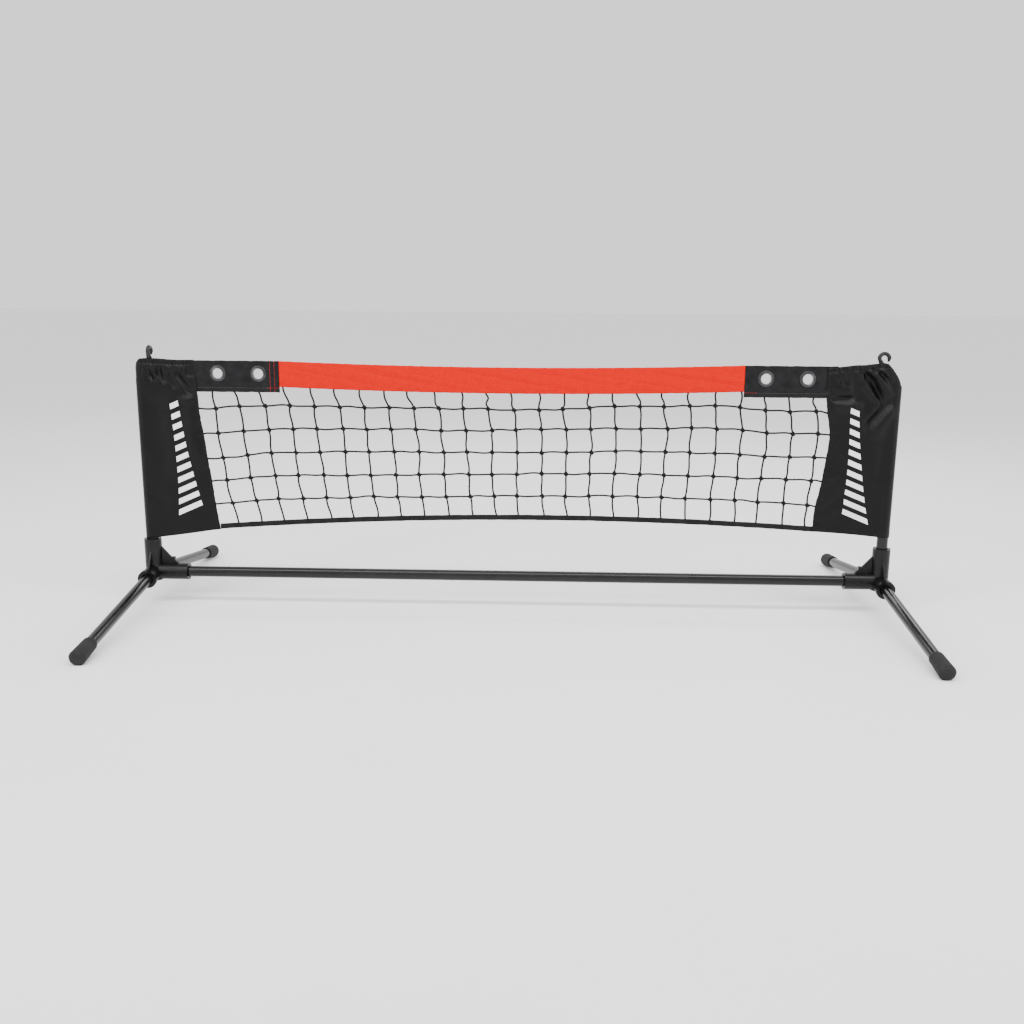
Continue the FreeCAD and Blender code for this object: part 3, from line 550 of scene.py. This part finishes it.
def nickel(name, colour, roughness):
    material, tree, shader = newMaterial(name, colour, roughness, Metallic=1.0)
    worn = noiseOn(tree, objectPlace(tree), 120, 4)
    tree.links.new(spread(tree, worn, roughness - 0.06, roughness + 0.08), shader.inputs["Roughness"])
    paler = tuple(value * 1.4 for value in colour)
    tree.links.new(mixColour(tree, spread(tree, worn, 0, 1), colour, paler), shader.inputs["Base Color"])
    return material


materials["nickel"] = nickel("dark_nickel", (0.05, 0.05, 0.052), 0.3)
# the rolled lip gets a paler copy of the same nickel: a painted highlight
materials["nickelLip"] = nickel("nickel_lip_painted_highlight", (0.15, 0.15, 0.155), 0.25)
print("cloth materials")

# the sleeves

# outer, inner: (share of the way up, metres from the middle); lower, upper: (share of the way in, height)
# folds: a chain of (metres from the middle, height), its width and its depth
sleeves = {
    "left": {
        "side": -1, "seed": 11, "cloth": "leftCloth",
        "outer": [(0, 0.7622), (0.5, 0.7622), (0.846, 0.7617), (0.933, 0.7608), (0.978, 0.760),
                  (0.99, 0.7586), (1, 0.7555)],
        "inner": [(0, 0.606), (0.078, 0.6105), (0.126, 0.6127), (0.3, 0.620), (0.509, 0.6288),
                  (0.605, 0.6335), (0.699, 0.6377), (0.792, 0.6394), (1, 0.645)],
        "lower": [(0, 0.139), (0.5, 0.148), (1, 0.159)],
        "upper": [(0, 0.5015), (0.05, 0.5062), (0.14, 0.5075), (0.3, 0.5065), (0.6, 0.5045), (1, 0.5045)],
        "neck": 0.0118, "lean": 0.018,
        "folds": [
            ([(0.736, 0.489), (0.731, 0.474), (0.724, 0.464)], 0.0055, -0.0042),
            ([(0.713, 0.489), (0.710, 0.471), (0.701, 0.457)], 0.006, -0.0046),
            ([(0.724, 0.486), (0.718, 0.470), (0.712, 0.460)], 0.0055, 0.003),
            ([(0.701, 0.486), (0.694, 0.466), (0.682, 0.446)], 0.0055, -0.0034),
            ([(0.690, 0.486), (0.676, 0.464), (0.662, 0.444)], 0.0055, 0.0036),
            ([(0.684, 0.483), (0.670, 0.461), (0.655, 0.443), (0.634, 0.430)], 0.0058, -0.0052),
            ([(0.668, 0.484), (0.655, 0.463), (0.642, 0.446)], 0.006, 0.0032),
            ([(0.656, 0.487), (0.648, 0.470)], 0.0045, -0.0024),
            ([(0.672, 0.424), (0.652, 0.425), (0.634, 0.428)], 0.007, 0.0036),
            ([(0.655, 0.410), (0.650, 0.350), (0.642, 0.280)], 0.018, 0.0036),
            ([(0.726, 0.440), (0.722, 0.330), (0.716, 0.230)], 0.020, -0.0026),
            ([(0.700, 0.420), (0.690, 0.340), (0.684, 0.250)], 0.015, 0.0014),
            ([(0.748, 0.235), (0.715, 0.217), (0.690, 0.212)], 0.010, -0.0012),
            ([(0.700, 0.190), (0.660, 0.182), (0.625, 0.186)], 0.012, 0.0012),
        ],
    },
    "right": {
        "side": 1, "seed": 23, "cloth": "rightCloth",
        "outer": [(0, 0.7615), (0.45, 0.7615), (0.7, 0.7614), (0.85, 0.7612), (0.895, 0.7603), (0.93, 0.7562),
                  (0.967, 0.7475), (1, 0.737)],
        "inner": [(0, 0.606), (0.142, 0.609), (0.306, 0.618), (0.4545, 0.6245), (0.603, 0.628),
                  (0.745, 0.620), (0.824, 0.6175), (1, 0.617)],
        "lower": [(0, 0.161), (0.5, 0.167), (1, 0.171)],
        "upper": [(0, 0.500), (0.04, 0.5075), (0.11, 0.512), (0.2, 0.5115), (0.4, 0.5085), (0.7, 0.504),
                  (1, 0.5005)],
        "neck": 0.0128, "lean": 0.026,
        "folds": [
            ([(0.626, 0.490), (0.628, 0.478)], 0.0035, -0.0022),
            ([(0.637, 0.492), (0.643, 0.476)], 0.0038, -0.0028),
            ([(0.650, 0.494), (0.658, 0.478)], 0.004, -0.0034),
            ([(0.662, 0.496), (0.674, 0.480), (0.690, 0.464)], 0.0048, -0.0042),
            ([(0.668, 0.494), (0.684, 0.471), (0.705, 0.446), (0.724, 0.430)], 0.0064, 0.0044),
            ([(0.677, 0.498), (0.695, 0.486), (0.707, 0.468), (0.718, 0.449), (0.732, 0.424)],
             0.0064, -0.0066),
            ([(0.693, 0.500), (0.712, 0.484), (0.728, 0.462), (0.742, 0.446)], 0.0068, 0.005),
            ([(0.695, 0.501), (0.716, 0.492), (0.737, 0.474)], 0.0045, -0.0034),
            ([(0.708, 0.503), (0.727, 0.494), (0.744, 0.476)], 0.0042, 0.0028),
            ([(0.756, 0.446), (0.742, 0.436), (0.722, 0.415), (0.707, 0.398), (0.695, 0.372)],
             0.008, -0.0062),
            ([(0.748, 0.428), (0.734, 0.408), (0.722, 0.386), (0.714, 0.360)], 0.012, 0.0048),
            ([(0.714, 0.425), (0.698, 0.410), (0.684, 0.392)], 0.010, 0.003),
            ([(0.618, 0.441), (0.636, 0.440), (0.661, 0.441), (0.676, 0.449)], 0.0055, -0.0054),
            ([(0.632, 0.428), (0.655, 0.424), (0.690, 0.428)], 0.009, 0.0048),
            ([(0.634, 0.462), (0.650, 0.458), (0.668, 0.458)], 0.010, 0.0034),
            ([(0.738, 0.380), (0.734, 0.330), (0.730, 0.270)], 0.011, -0.0022),
            ([(0.668, 0.252), (0.646, 0.231), (0.618, 0.210)], 0.008, -0.0026),
            ([(0.662, 0.232), (0.640, 0.214)], 0.010, 0.0018),
            ([(0.626, 0.281), (0.640, 0.284), (0.652, 0.281)], 0.005, 0.0018),
            ([(0.690, 0.340), (0.684, 0.270), (0.678, 0.200)], 0.018, 0.0016),
        ],
    },
}
sleeveMake = {"columns": 104, "around": 8, "widest": 0.7615, "round": 0.0124, "seam": 0.010, "edge": 0.0017,
              "hem": 0.0085, "cloth": 0.0008, "bottomHem": 0.012, "backTop": 0.5065, "backFolds": 0.55,
              "stitchLift": 0.0003}
# what the cloth keeps clear of: the post's tube, and the leaning neck of the cap on it
core = {"post": 0.75, "tube": 0.0117, "tubeTop": 0.466, "neckFoot": 0.462, "neckRise": 0.038,
        "neck": 0.0118, "taper": 0.0035, "bend": 1.2, "least": 0.0004}


def sleevePoint(which, s, t, back):
    # where the sleeve's cloth runs: s from the post's side to the net's, t from the lower edge to the top
    made = sleeves[which]
    s, t = numpy.broadcast_arrays(numpy.asarray(s, float), numpy.asarray(t, float))
    outer = numpy.minimum(lineThrough(made["outer"], t), sleeveMake["widest"])
    inner = lineThrough(made["inner"], t)
    across = outer + (inner - outer) * s
    low = lineThrough(made["lower"], s)
    top = lineThrough(made["upper"], s)
    if back:
        top = numpy.minimum(top, sleeveMake["backTop"])
    up = low + (top - low) * t
    fromTop = top - up
    radius = sleeveMake["round"] + (made["neck"] - sleeveMake["round"]) * numpy.clip((t - 0.85) / 0.15, 0, 1)
    inward = (outer - across) / radius
    curve = numpy.sqrt(numpy.clip(1 - (1 - numpy.clip(inward, 0, 1)) ** 2, 0, 1))
    flatRun = numpy.maximum(outer - radius - inner, 1e-4)
    share = numpy.clip((outer - radius - across) / flatRun, 0, 1)
    half = numpy.where(inward < 1, radius * curve, sleeveMake["edge"] + (radius - sleeveMake["edge"])
                       * (1 - share) ** 1.25)
    seed = made["seed"] + (50 if back else 0)
    # how free the cloth is to leave its rest line: held at the post's side, at the seam and in the hem
    free = numpy.clip((inward - 0.35) / 1.1, 0, 1) * numpy.clip((across - inner - 0.004) / 0.012, 0, 1)
    folds = 0
    for chain, width, depth in made["folds"]:
        if back:
            # the back has its own, gentler folds
            chain = [(a + 0.007, b - 0.006) for a, b in chain]
            depth = sleeveMake["backFolds"] * depth
        folds = folds + dip(across, up, chain, width, depth)
    warp = s + 0.02 * waves(up, seed + 1, 0.06) * numpy.clip(fromTop / 0.03, 0, 1)
    gathers = (0.0011 * waves(warp, seed + 2, 0.085, 2, 1.35) * numpy.exp(-fromTop / 0.011)
               + 0.0017 * waves(warp, seed + 3, 0.16, 3) * numpy.exp(-((fromTop - 0.014) / 0.02) ** 2))
    puff = 0.0024 * numpy.exp(-((fromTop - sleeveMake["hem"] - 0.008) / 0.008) ** 2)
    pinch = -0.0011 * numpy.exp(-((fromTop - sleeveMake["hem"]) / 0.0016) ** 2)
    casing = 0.0007 * numpy.sin(numpy.clip(fromTop / sleeveMake["hem"], 0, 1) * math.pi)
    rolling = 0.0011 * waves(across + 0.4 * up, seed + 4, 0.16) * waves(up - 0.3 * across, seed + 5, 0.21)
    held = numpy.clip((fromTop - 0.006) / 0.008, 0, 1)
    swell = (folds + rolling) * held * numpy.clip((up - low) / 0.02, 0.25, 1)
    half = half + free * (swell + gathers + puff * free) + pinch + casing
    half = half + 0.0004 * (numpy.clip((sleeveMake["bottomHem"] - (up - low)) / 0.001, 0, 1))
    # clear of the tube and of the cap's neck
    post = core["post"]
    tube = numpy.sqrt(numpy.clip(core["tube"] ** 2 - (across - post) ** 2, 0, None)) * (up < core["tubeTop"])
    rise = numpy.clip((up - core["neckFoot"]) / core["neckRise"], 0, 1)
    neckLean = post - made["lean"] * rise ** core["bend"]
    neckRadius = core["neck"] - core["taper"] * rise
    neck = numpy.sqrt(numpy.clip(neckRadius**2 - (across - neckLean) ** 2, 0, None)) * (up >= core["neckFoot"])
    half = numpy.maximum(numpy.maximum(half, tube), numpy.maximum(neck, core["least"]))
    # the seam that joins both layers puckers as one
    atSeam = numpy.clip(1 - (across - inner) / 0.022, 0, 1)
    pucker = (0.0008 * waves(up, made["seed"] + 6, 0.022, 3)
              + 0.0016 * waves(up, made["seed"] + 7, 0.12, 2)) * atSeam
    across = across + 0.0004 * waves(up, made["seed"] + 8, 0.03, 3) * atSeam**2
    y = pucker + (half if back else -half)
    return numpy.stack([made["side"] * across, y, up], -1)


def sleeveEdge(which, height):
    made = sleeves[which]
    low, top = made["lower"][-1][1], made["upper"][-1][1]
    return made["side"] * float(lineThrough(made["inner"], (height - low) / (top - low)))


def makeSleeve(which):
    made = sleeves[which]
    count = sleeveMake["columns"]
    # close columns round the post, even ones across the rest
    first = numpy.linspace(0, 1, sleeveMake["around"], endpoint=False) ** 2 * 0.085
    s = numpy.concatenate([first, numpy.linspace(0.085, 1, count)])
    t = numpy.concatenate([numpy.linspace(0, 0.8, 90, endpoint=False), numpy.linspace(0.8, 1, 60)])
    front = sleevePoint(which, s[None, :], t[:, None], False)
    rear = sleevePoint(which, s[None, ::-1], t[:, None], True)[:, 1:-1]
    points = numpy.concatenate([front, rear], 1)
    rows, columns = points.shape[:2]
    faces = gridFaces(rows, columns, closed=True)
    # the first and last columns are shared by both layers; the first is set on the mean line
    mean = sleevePoint(which, numpy.array([0.0, 1.0])[None, :], t[:, None], True)
    points[:, 0, 1] = 0.5 * (points[:, 0, 1] + mean[:, 0, 1])
    flat = points.reshape(-1, 3)
    uv = numpy.stack([numpy.abs(flat[:, 0]), flat[:, 2]], -1)
    behind = (numpy.arange(len(flat)) % columns) >= len(s)
    uv[behind, 0] += 2
    if made["side"] < 0:
        faces = [face[::-1] for face in faces]
    sleeve = meshPiece(which + "_sleeve_cloth", flat, faces, materials[made["cloth"]], uv)
    thicken(sleeve, sleeveMake["cloth"], -1)
    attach(sleeve, "net_and_posts")
    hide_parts(which + "_sleeve", which + "_hem_elastic")
    return sleeve


def raised(which, s, t, back=False):
    # points a little proud of the sleeve's cloth
    points = sleevePoint(which, s, t, back)
    points[..., 1] += sleeveMake["stitchLift"] if back else -sleeveMake["stitchLift"]
    return points


def sleeveStitches(which):
    t = numpy.linspace(0.004, 0.972, 240)
    s = numpy.linspace(0.02, 0.985, 220)
    made = sleeves[which]
    chains = []
    for back in (False, True):
        inner, outer = lineThrough(made["inner"], t), lineThrough(made["outer"], t)
        for inset in (0.0025, sleeveMake["seam"]):
            chains.append(raised(which, 1 - inset / (outer - inner), t, back=back))
        top = lineThrough(made["upper"], s)
        low = lineThrough(made["lower"], s)
        if back:
            top = numpy.minimum(top, sleeveMake["backTop"])
        chains.append(raised(which, s, 1 - sleeveMake["hem"] / (top - low), back=back))
        chains.append(raised(which, s, sleeveMake["bottomHem"] / (top - low), back=back))
    if which == "right":
        # the strip sewn on over the end of the band
        patch = numpy.linspace(0.835, 0.97, 60)
        chains.append(raised(which, numpy.full(60, 0.86), patch))
    stitches = growOn(which + "_sleeve_stitches", chains, stitchTree,
                      {"Pitch": 0.0032, "Thread": 0.0006, "Share": 0.72}, materials["blackThread"])
    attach(stitches, "net_and_posts")
    return stitches


for which in sleeves:
    cloth = makeSleeve(which)
    sleeveStitches(which)
print("sleeves")

# the bands and the tape

leftBand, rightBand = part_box("left_end_band"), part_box("right_end_band")
bands = {"top": leftBand[1][2], "height": leftBand[1][2] - leftBand[0][2], "thick": 0.0024,
         "inner": {"left": -leftBand[1][0], "right": rightBand[0][0]}, "outer": {"left": 0.650, "right": 0.636},
         "hole": 0.0128, "stitchLine": 0.0085, "stitchLift": 0.0003, "redSeams": (0.0095, 0.0185)}
eyeletPlaces = [mount["pos_m"] for mount in frame["record"]["mounts"] if mount["name"].endswith("_eyelet")]


def stripUv(points):
    flat = points.reshape(-1, 3)
    return numpy.stack([numpy.abs(flat[:, 0]), flat[:, 2]], -1)


def makeBand(which, side):
    ends = (bands["inner"][which], bands["outer"][which])
    x = numpy.linspace(*ends, 112)[None, :]
    z = numpy.linspace(bands["top"] - bands["height"], bands["top"], 42)[:, None]
    x, z = numpy.broadcast_arrays(x, z)
    y = 0.0006 * waves(x, 31 + side, 0.11, 3) * numpy.clip((0.63 - x) / 0.05, 0, 1)
    rim = 0.0004 * waves(x, 35 + side, 0.04, 3)
    share = (z - z.min()) / bands["height"]
    points = numpy.stack([side * x, y, z + rim * (2 * share - 1)], -1)
    rows, columns = points.shape[:2]
    skip = set()
    for j in range(rows - 1):
        for i in range(columns - 1):
            middle = (points[j, i] + points[j + 1, i + 1]) / 2
            if min(math.hypot(middle[0] - at[0], middle[2] - at[2]) for at in eyeletPlaces) < bands["hole"]:
                skip.add((j, i))
    faces = gridFaces(rows, columns, skip=skip)
    if side < 0:
        faces = [face[::-1] for face in faces]
    band = meshPiece(which + "_end_band_cloth", points.reshape(-1, 3), faces, materials["blackWebbing"],
                     stripUv(points))
    thicken(band, bands["thick"], 0)
    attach(band, "net_and_posts")
    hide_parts(which + "_end_band")
    face = -bands["thick"] / 2
    level = bands["top"] - bands["height"] + bands["stitchLine"]
    outer = abs(sleeveEdge(which, level)) - 0.001
    grey, red = [], []
    for turn in (face - bands["stitchLift"], -face + bands["stitchLift"]):
        grey.append([(side * x, turn, level) for x in numpy.linspace(ends[0] + 0.022, outer, 90)])
        red.append([(side * x, turn, level + 0.0004)
                    for x in numpy.linspace(ends[0] + 0.001, ends[0] + 0.024, 16)])
        if which == "left":
            for inset in bands["redSeams"]:
                red.append([(side * (ends[0] + inset), turn, z) for z in
                            numpy.linspace(bands["top"] - bands["height"] + 0.002, bands["top"] - 0.002, 40)])
    for name, chains, thread in (("grey", grey, "greyThread"), ("red", red, "redThread")):
        stitches = growOn(f"{which}_band_{name}_stitches", chains, stitchTree,
                          {"Pitch": 0.0034, "Thread": 0.0008, "Share": 0.7}, materials[thread])
        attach(stitches, "net_and_posts")


for which, side in (("left", -1), ("right", 1)):
    makeBand(which, side)

tape = {"left": leftBand[1][0], "right": rightBand[0][0], "top": bands["top"], "sag": 0.0085,
        "height": 0.0515, "thick": 0.003, "stitchLine": 0.0075, "stitchLift": 0.0004}


def tapeTop(x):
    middle, half = (tape["right"] + tape["left"]) / 2, (tape["right"] - tape["left"]) / 2
    return tape["top"] - tape["sag"] * (1 - ((x - middle) / half) ** 2)


def makeTape():
    x = numpy.linspace(tape["left"], tape["right"], 420)[None, :]
    f = numpy.linspace(0, 1, 22)[:, None]
    x, f = numpy.broadcast_arrays(x, f)
    edge = 0.00035 * waves(x, 41, 0.03, 4) * (2 * f - 1)
    z = tapeTop(x) - tape["height"] * (1 - f) + edge
    y = (0.0009 * waves(x + 0.3 * f, 42, 0.19, 4) * numpy.sin(f * math.pi)
         + 0.0004 * waves(x, 43, 0.05, 3) * (1 - f))
    points = numpy.stack([x, y, z], -1)
    strip = meshPiece("top_tape_cloth", points.reshape(-1, 3), gridFaces(*points.shape[:2]),
                      materials["orangeWebbing"], numpy.stack([x.ravel(), (f * tape["height"]).ravel()], -1))
    thicken(strip, tape["thick"], 0)
    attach(strip, "net_and_posts")
    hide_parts("top_tape")
    row = numpy.linspace(tape["left"] + 0.002, tape["right"] - 0.002, 300)
    out = tape["thick"] / 2 + tape["stitchLift"]
    chains = [[(a, turn * out, tapeTop(a) - tape["height"] + tape["stitchLine"]) for a in row]
              for turn in (-1, 1)]
    stitches = growOn("top_tape_stitches", chains, stitchTree,
                      {"Pitch": 0.0036, "Thread": 0.0007, "Share": 0.7}, materials["orangeThread"])
    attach(stitches, "net_and_posts")


makeTape()

hem = {"top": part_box("bottom_band")[1][2], "middle": 0.078, "rise": 0.027, "span": 0.679, "height": 0.0103,
       "thick": 0.0032, "left": 0.606, "right": 0.612, "stitchLine": 0.0028, "stitchLift": 0.0003}


def hemTop(x):
    return hem["top"] - hem["rise"] * ((x - hem["middle"]) / hem["span"]) ** 2


def hemSway(x):
    return 0.0006 * waves(x, 52, 0.12, 3)


def makeBottomBand():
    x = numpy.linspace(-hem["left"], hem["right"], 360)[None, :]
    f = numpy.linspace(0, 1, 7)[:, None]
    x, f = numpy.broadcast_arrays(x, f)
    z = hemTop(x) - hem["height"] * (1 - f) + 0.0003 * waves(x, 51, 0.06, 4) * (2 * f - 1)
    points = numpy.stack([x, hemSway(x), z], -1)
    strip = meshPiece("bottom_band_cloth", points.reshape(-1, 3), gridFaces(*points.shape[:2]),
                      materials["blackWebbing"], numpy.stack([x.ravel(), (f * hem["height"]).ravel()], -1))
    thicken(strip, hem["thick"], 0)
    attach(strip, "net_and_posts")
    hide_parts("bottom_band")
    row = numpy.linspace(-hem["left"] + 0.01, hem["right"] - 0.01, 400)
    out = hem["thick"] / 2 + hem["stitchLift"]
    chains = [[(a, turn * out + hemSway(a), hemTop(a) - hem["stitchLine"]) for a in row] for turn in (-1, 1)]
    stitches = growOn("bottom_band_stitches", chains, stitchTree,
                      {"Pitch": 0.0036, "Thread": 0.0006, "Share": 0.7}, materials["blackThread"])
    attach(stitches, "net_and_posts")


makeBottomBand()
print("bands and tape")

# the net

netMake = {"twine": 0.0038, "sides": 7, "knot": 1.4, "knotSeed": 3, "overlap": 0.0008, "seed": 5,
           "uneven": (0.0018, 0.0012, 0.0011), "slack": 0.002, "rowSlack": 0.0017, "topSlack": 0.0036,
           "wriggledColumn": 11, "wriggle": -0.005,
           # where each upright twine meets the tape or a band, in millimetres
           "tops": (-609, -565.2, -515.6, -466.8, -411.5, -364.1, -312.5, -262.8, -217, -162.3, -107,
                    -58.8, -9.4, 48.2, 98.4, 145.8, 193.5, 241.3, 291.1, 344.1, 398.8, 448.4, 494.5,
                    542.5, 591.5)}
# each level row of knots: where it starts and ends, and its height at shares of the way, in millimetres
netRows = [
    {"ends": (-580, 592), "up": [(0, 213), (0.083, 223), (0.2, 229), (0.42, 234), (0.67, 238),
                                 (0.83, 235), (0.96, 228), (1, 225)]},
    {"ends": (-588, 597), "up": [(0, 261), (0.083, 271), (0.2, 274.5), (0.42, 279.5), (0.67, 284),
                                 (0.83, 281.5), (0.96, 276), (1, 274)]},
    {"ends": (-594, 602), "up": [(0, 308), (0.083, 318), (0.2, 322), (0.42, 324.5), (0.6, 327),
                                 (0.67, 331), (0.83, 329), (0.92, 324), (1, 323)]},
    {"ends": (-600, 605), "up": [(0, 359), (0.083, 366), (0.2, 369.5), (0.42, 369), (0.67, 375.5),
                                 (0.87, 376), (0.92, 371), (1, 371)]},
    {"ends": (-605, 598), "up": [(0, 409), (0.083, 415), (0.2, 413.5), (0.42, 413.5), (0.58, 413),
                                 (0.65, 420), (0.75, 422), (0.87, 423.5), (0.92, 415), (1, 414)]},
]


def knotPlaces():
    # the knots, row by row from the bottom, with a little give in each
    picks = random.Random(netMake["seed"])
    count = len(netMake["tops"])
    rows = []
    for row in netRows:
        line = []
        for column in range(count):
            f = column / (count - 1)
            first, last = row["ends"]
            give = [picks.uniform(-most, most) for most in netMake["uneven"]]
            line.append(Vector(((first + (last - first) * f) / 1000 + give[0], give[1],
                                float(lineThrough(row["up"], f)) / 1000 + give[2])))
        rows.append(line)
    return rows


def slack(a, b, picks, most, steps=8, wriggle=0):
    # the twine from one knot to the next, not quite straight
    way = b - a
    side = Vector((way.z, 0, -way.x)).normalized()
    lean = picks.uniform(-1, 1) * most
    kink = picks.uniform(-0.5, 0.5) * most
    depth = picks.uniform(-0.5, 0.5) * most
    line = []
    for step in range(1, steps):
        f = step / steps
        bulge = math.sin(math.pi * f)
        sway = math.sin(2 * math.pi * f)
        shift = lean * bulge + kink * sway + wriggle * sway * bulge
        line.append(a + way * f + side * shift + Vector((0, depth * bulge, 0)))
    return line


knotShape = {"turns": 20, "sides": 5, "thread": 0.00125, "loop": 0.00105, "depth": 0.0011, "tall": 0.8}


def makeKnotShape():
    # a small overhand knot: one thick thread that winds through itself
    mesh = bpy.data.meshes.new("knot_shape")
    turns, sides = knotShape["turns"], knotShape["sides"]
    centres = []
    for step in range(turns):
        a = 2 * math.pi * step / turns
        wide = knotShape["loop"] * (2 + math.cos(3 * a))
        centres.append(Vector((wide * math.cos(2 * a), knotShape["depth"] * math.sin(3 * a),
                               wide * knotShape["tall"] * math.sin(2 * a))))
    points = []
    for step, centre in enumerate(centres):
        way = (centres[(step + 1) % turns] - centres[step - 1]).normalized()
        out = way.cross(Vector((0, 1, 0.2))).normalized()
        over = way.cross(out)
        for k in range(sides):
            b = 2 * math.pi * k / sides
            points.append(centre + knotShape["thread"] * (math.cos(b) * out + math.sin(b) * over))
    faces = [(i * sides + k, i * sides + (k + 1) % sides, ((i + 1) % turns) * sides + (k + 1) % sides,
              ((i + 1) % turns) * sides + k) for i in range(turns) for k in range(sides)]
    mesh.from_pydata([tuple(p) for p in points], [], faces)
    work = bmesh.new()
    work.from_mesh(mesh)
    bmesh.ops.recalc_face_normals(work, faces=work.faces)
    work.to_mesh(mesh)
    work.free()
    shape = bpy.data.objects.new("knot_shape", mesh)
    scene.collection.objects.link(shape)
    return shape


def makeNet():
    rows = knotPlaces()
    picks = random.Random(netMake["seed"] + 1)
    chains, knots, total = [], set(), 0
    for column, top in enumerate(netMake["tops"]):
        x = top / 1000
        onTape = tape["left"] < x < tape["right"]
        high = float(tapeTop(x)) - tape["height"] if onTape else bands["top"] - bands["height"]
        high += netMake["overlap"]
        lowest = rows[0][column]
        foot = Vector((lowest.x * 0.99 + 0.005 + picks.uniform(-0.0015, 0.0015), 0, 0))
        foot.z = float(hemTop(foot.x)) - 0.003
        stops = [foot] + [row[column] for row in rows] + [Vector((x, 0, high))]
        line = [stops[0]]
        for number, (a, b) in enumerate(zip(stops, stops[1:])):
            last = number == len(stops) - 2
            wriggle = netMake["wriggle"] if last and column == netMake["wriggledColumn"] else 0
            most = netMake["topSlack"] if last else netMake["slack"]
            line += slack(a, b, picks, most, 12 if wriggle else 8, wriggle) + [b]
            if not last:
                knots.add(total + len(line) - 1)
        chains.append(line)
        total += len(line)
    for row in rows:
        ends = []
        for which, knot in (("left", row[0]), ("right", row[-1])):
            height = knot.z + picks.uniform(-0.003, 0.003) - 0.002
            ends.append(Vector((sleeveEdge(which, height) + 0.004 * sleeves[which]["side"], 0, height)))
        stops = [ends[0]] + row + [ends[1]]
        line = [stops[0]]
        for a, b in zip(stops, stops[1:]):
            line += slack(a, b, picks, netMake["rowSlack"]) + [b]
        chains.append(line)
    shape = makeKnotShape()
    values = {"Twine": netMake["twine"], "Sides": netMake["sides"], "Knot": shape,
              "Knot size": netMake["knot"], "Knot seed": netMake["knotSeed"]}
    net = growOn("knotted_net", chains, netTree, values, materials["twine"], knots)
    bpy.data.objects.remove(shape)
    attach(net, "net_and_posts")
    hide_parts("net_mesh")


makeNet()
print("net")

# the eyelets

eyelet = {"bore": 0.00975, "barrel": 0.01075, "flange": 0.01625, "cloth": 0.0015, "lipReach": 0.0112,
          "turns": 56}


def makeEyelets():
    b, w, f, c = (eyelet[word] for word in ("bore", "barrel", "flange", "cloth"))
    # a rolled lip round the bore, a shallow dish and a turned-down rim, front and back alike
    half = [(b, 0.0), (b, c + 0.0004), (b + 0.0003, c + 0.0011), (b + 0.0011, c + 0.0015),
            (b + 0.0021, c + 0.0012), (b + 0.0032, c + 0.0007), (f - 0.0017, c + 0.0008),
            (f - 0.0007, c + 0.0006), (f, c + 0.0001), (f - 0.0001, c - 0.0003), (w, c - 0.0003)]
    profile = half + [(radius, -depth) for radius, depth in half[::-1]][:-1]
    turns, count = eyelet["turns"], len(profile)
    points, faces, lipHighlight = [], [], []
    for x, _, up in eyeletPlaces:
        first = len(points)
        for step in range(turns):
            a = 2 * math.pi * step / turns
            points += [(x + radius * math.cos(a), deep, up + radius * math.sin(a))
                       for radius, deep in profile]
        for step in range(turns):
            for k in range(count):
                near, far, after = first + step * count, first + ((step + 1) % turns) * count, (k + 1) % count
                faces.append((near + k, near + after, far + after, far + k))
                lipHighlight.append(max(profile[k][0], profile[after][0]) < eyelet["lipReach"])
    rings = meshPiece("eyelet_rings", points, faces, materials["nickel"])
    # the faces of the rolled lip take the paler nickel, a painted highlight
    rings.data.materials.append(materials["nickelLip"])
    rings.data.polygons.foreach_set("material_index", [int(lip) for lip in lipHighlight])
    work = bmesh.new()
    work.from_mesh(rings.data)
    bmesh.ops.recalc_face_normals(work, faces=work.faces)
    work.to_mesh(rings.data)
    work.free()
    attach(rings, "net_and_posts")
    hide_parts("eyelets", "eyelet_washers")


makeEyelets()
print("eyelets")

# the floor
ground = {"half": 30, "darker": (0.92, 0.92, 0.92), "middle": (0.93, 0.93, 0.93), "paler": (0.94, 0.94, 0.94)}


def makeFloor():
    mesh = bpy.data.meshes.new("floor")
    half = ground["half"]
    mesh.from_pydata([(-half, -half, 0), (half, -half, 0), (half, half, 0), (-half, half, 0)], [],
                     [(0, 1, 2, 3)])
    floor = bpy.data.objects.new("floor", mesh)
    scene.collection.objects.link(floor)
    material, tree, shader = newMaterial("pale_floor", ground["middle"], 0.8, Specular_IOR_Level=0.0)
    tint = noiseOn(tree, objectPlace(tree), 3, 3)
    tree.links.new(mixColour(tree, spread(tree, tint, 0, 1), ground["darker"], ground["paler"]),
                   shader.inputs["Base Color"])
    mesh.materials.append(material)


makeFloor()
print("floor")
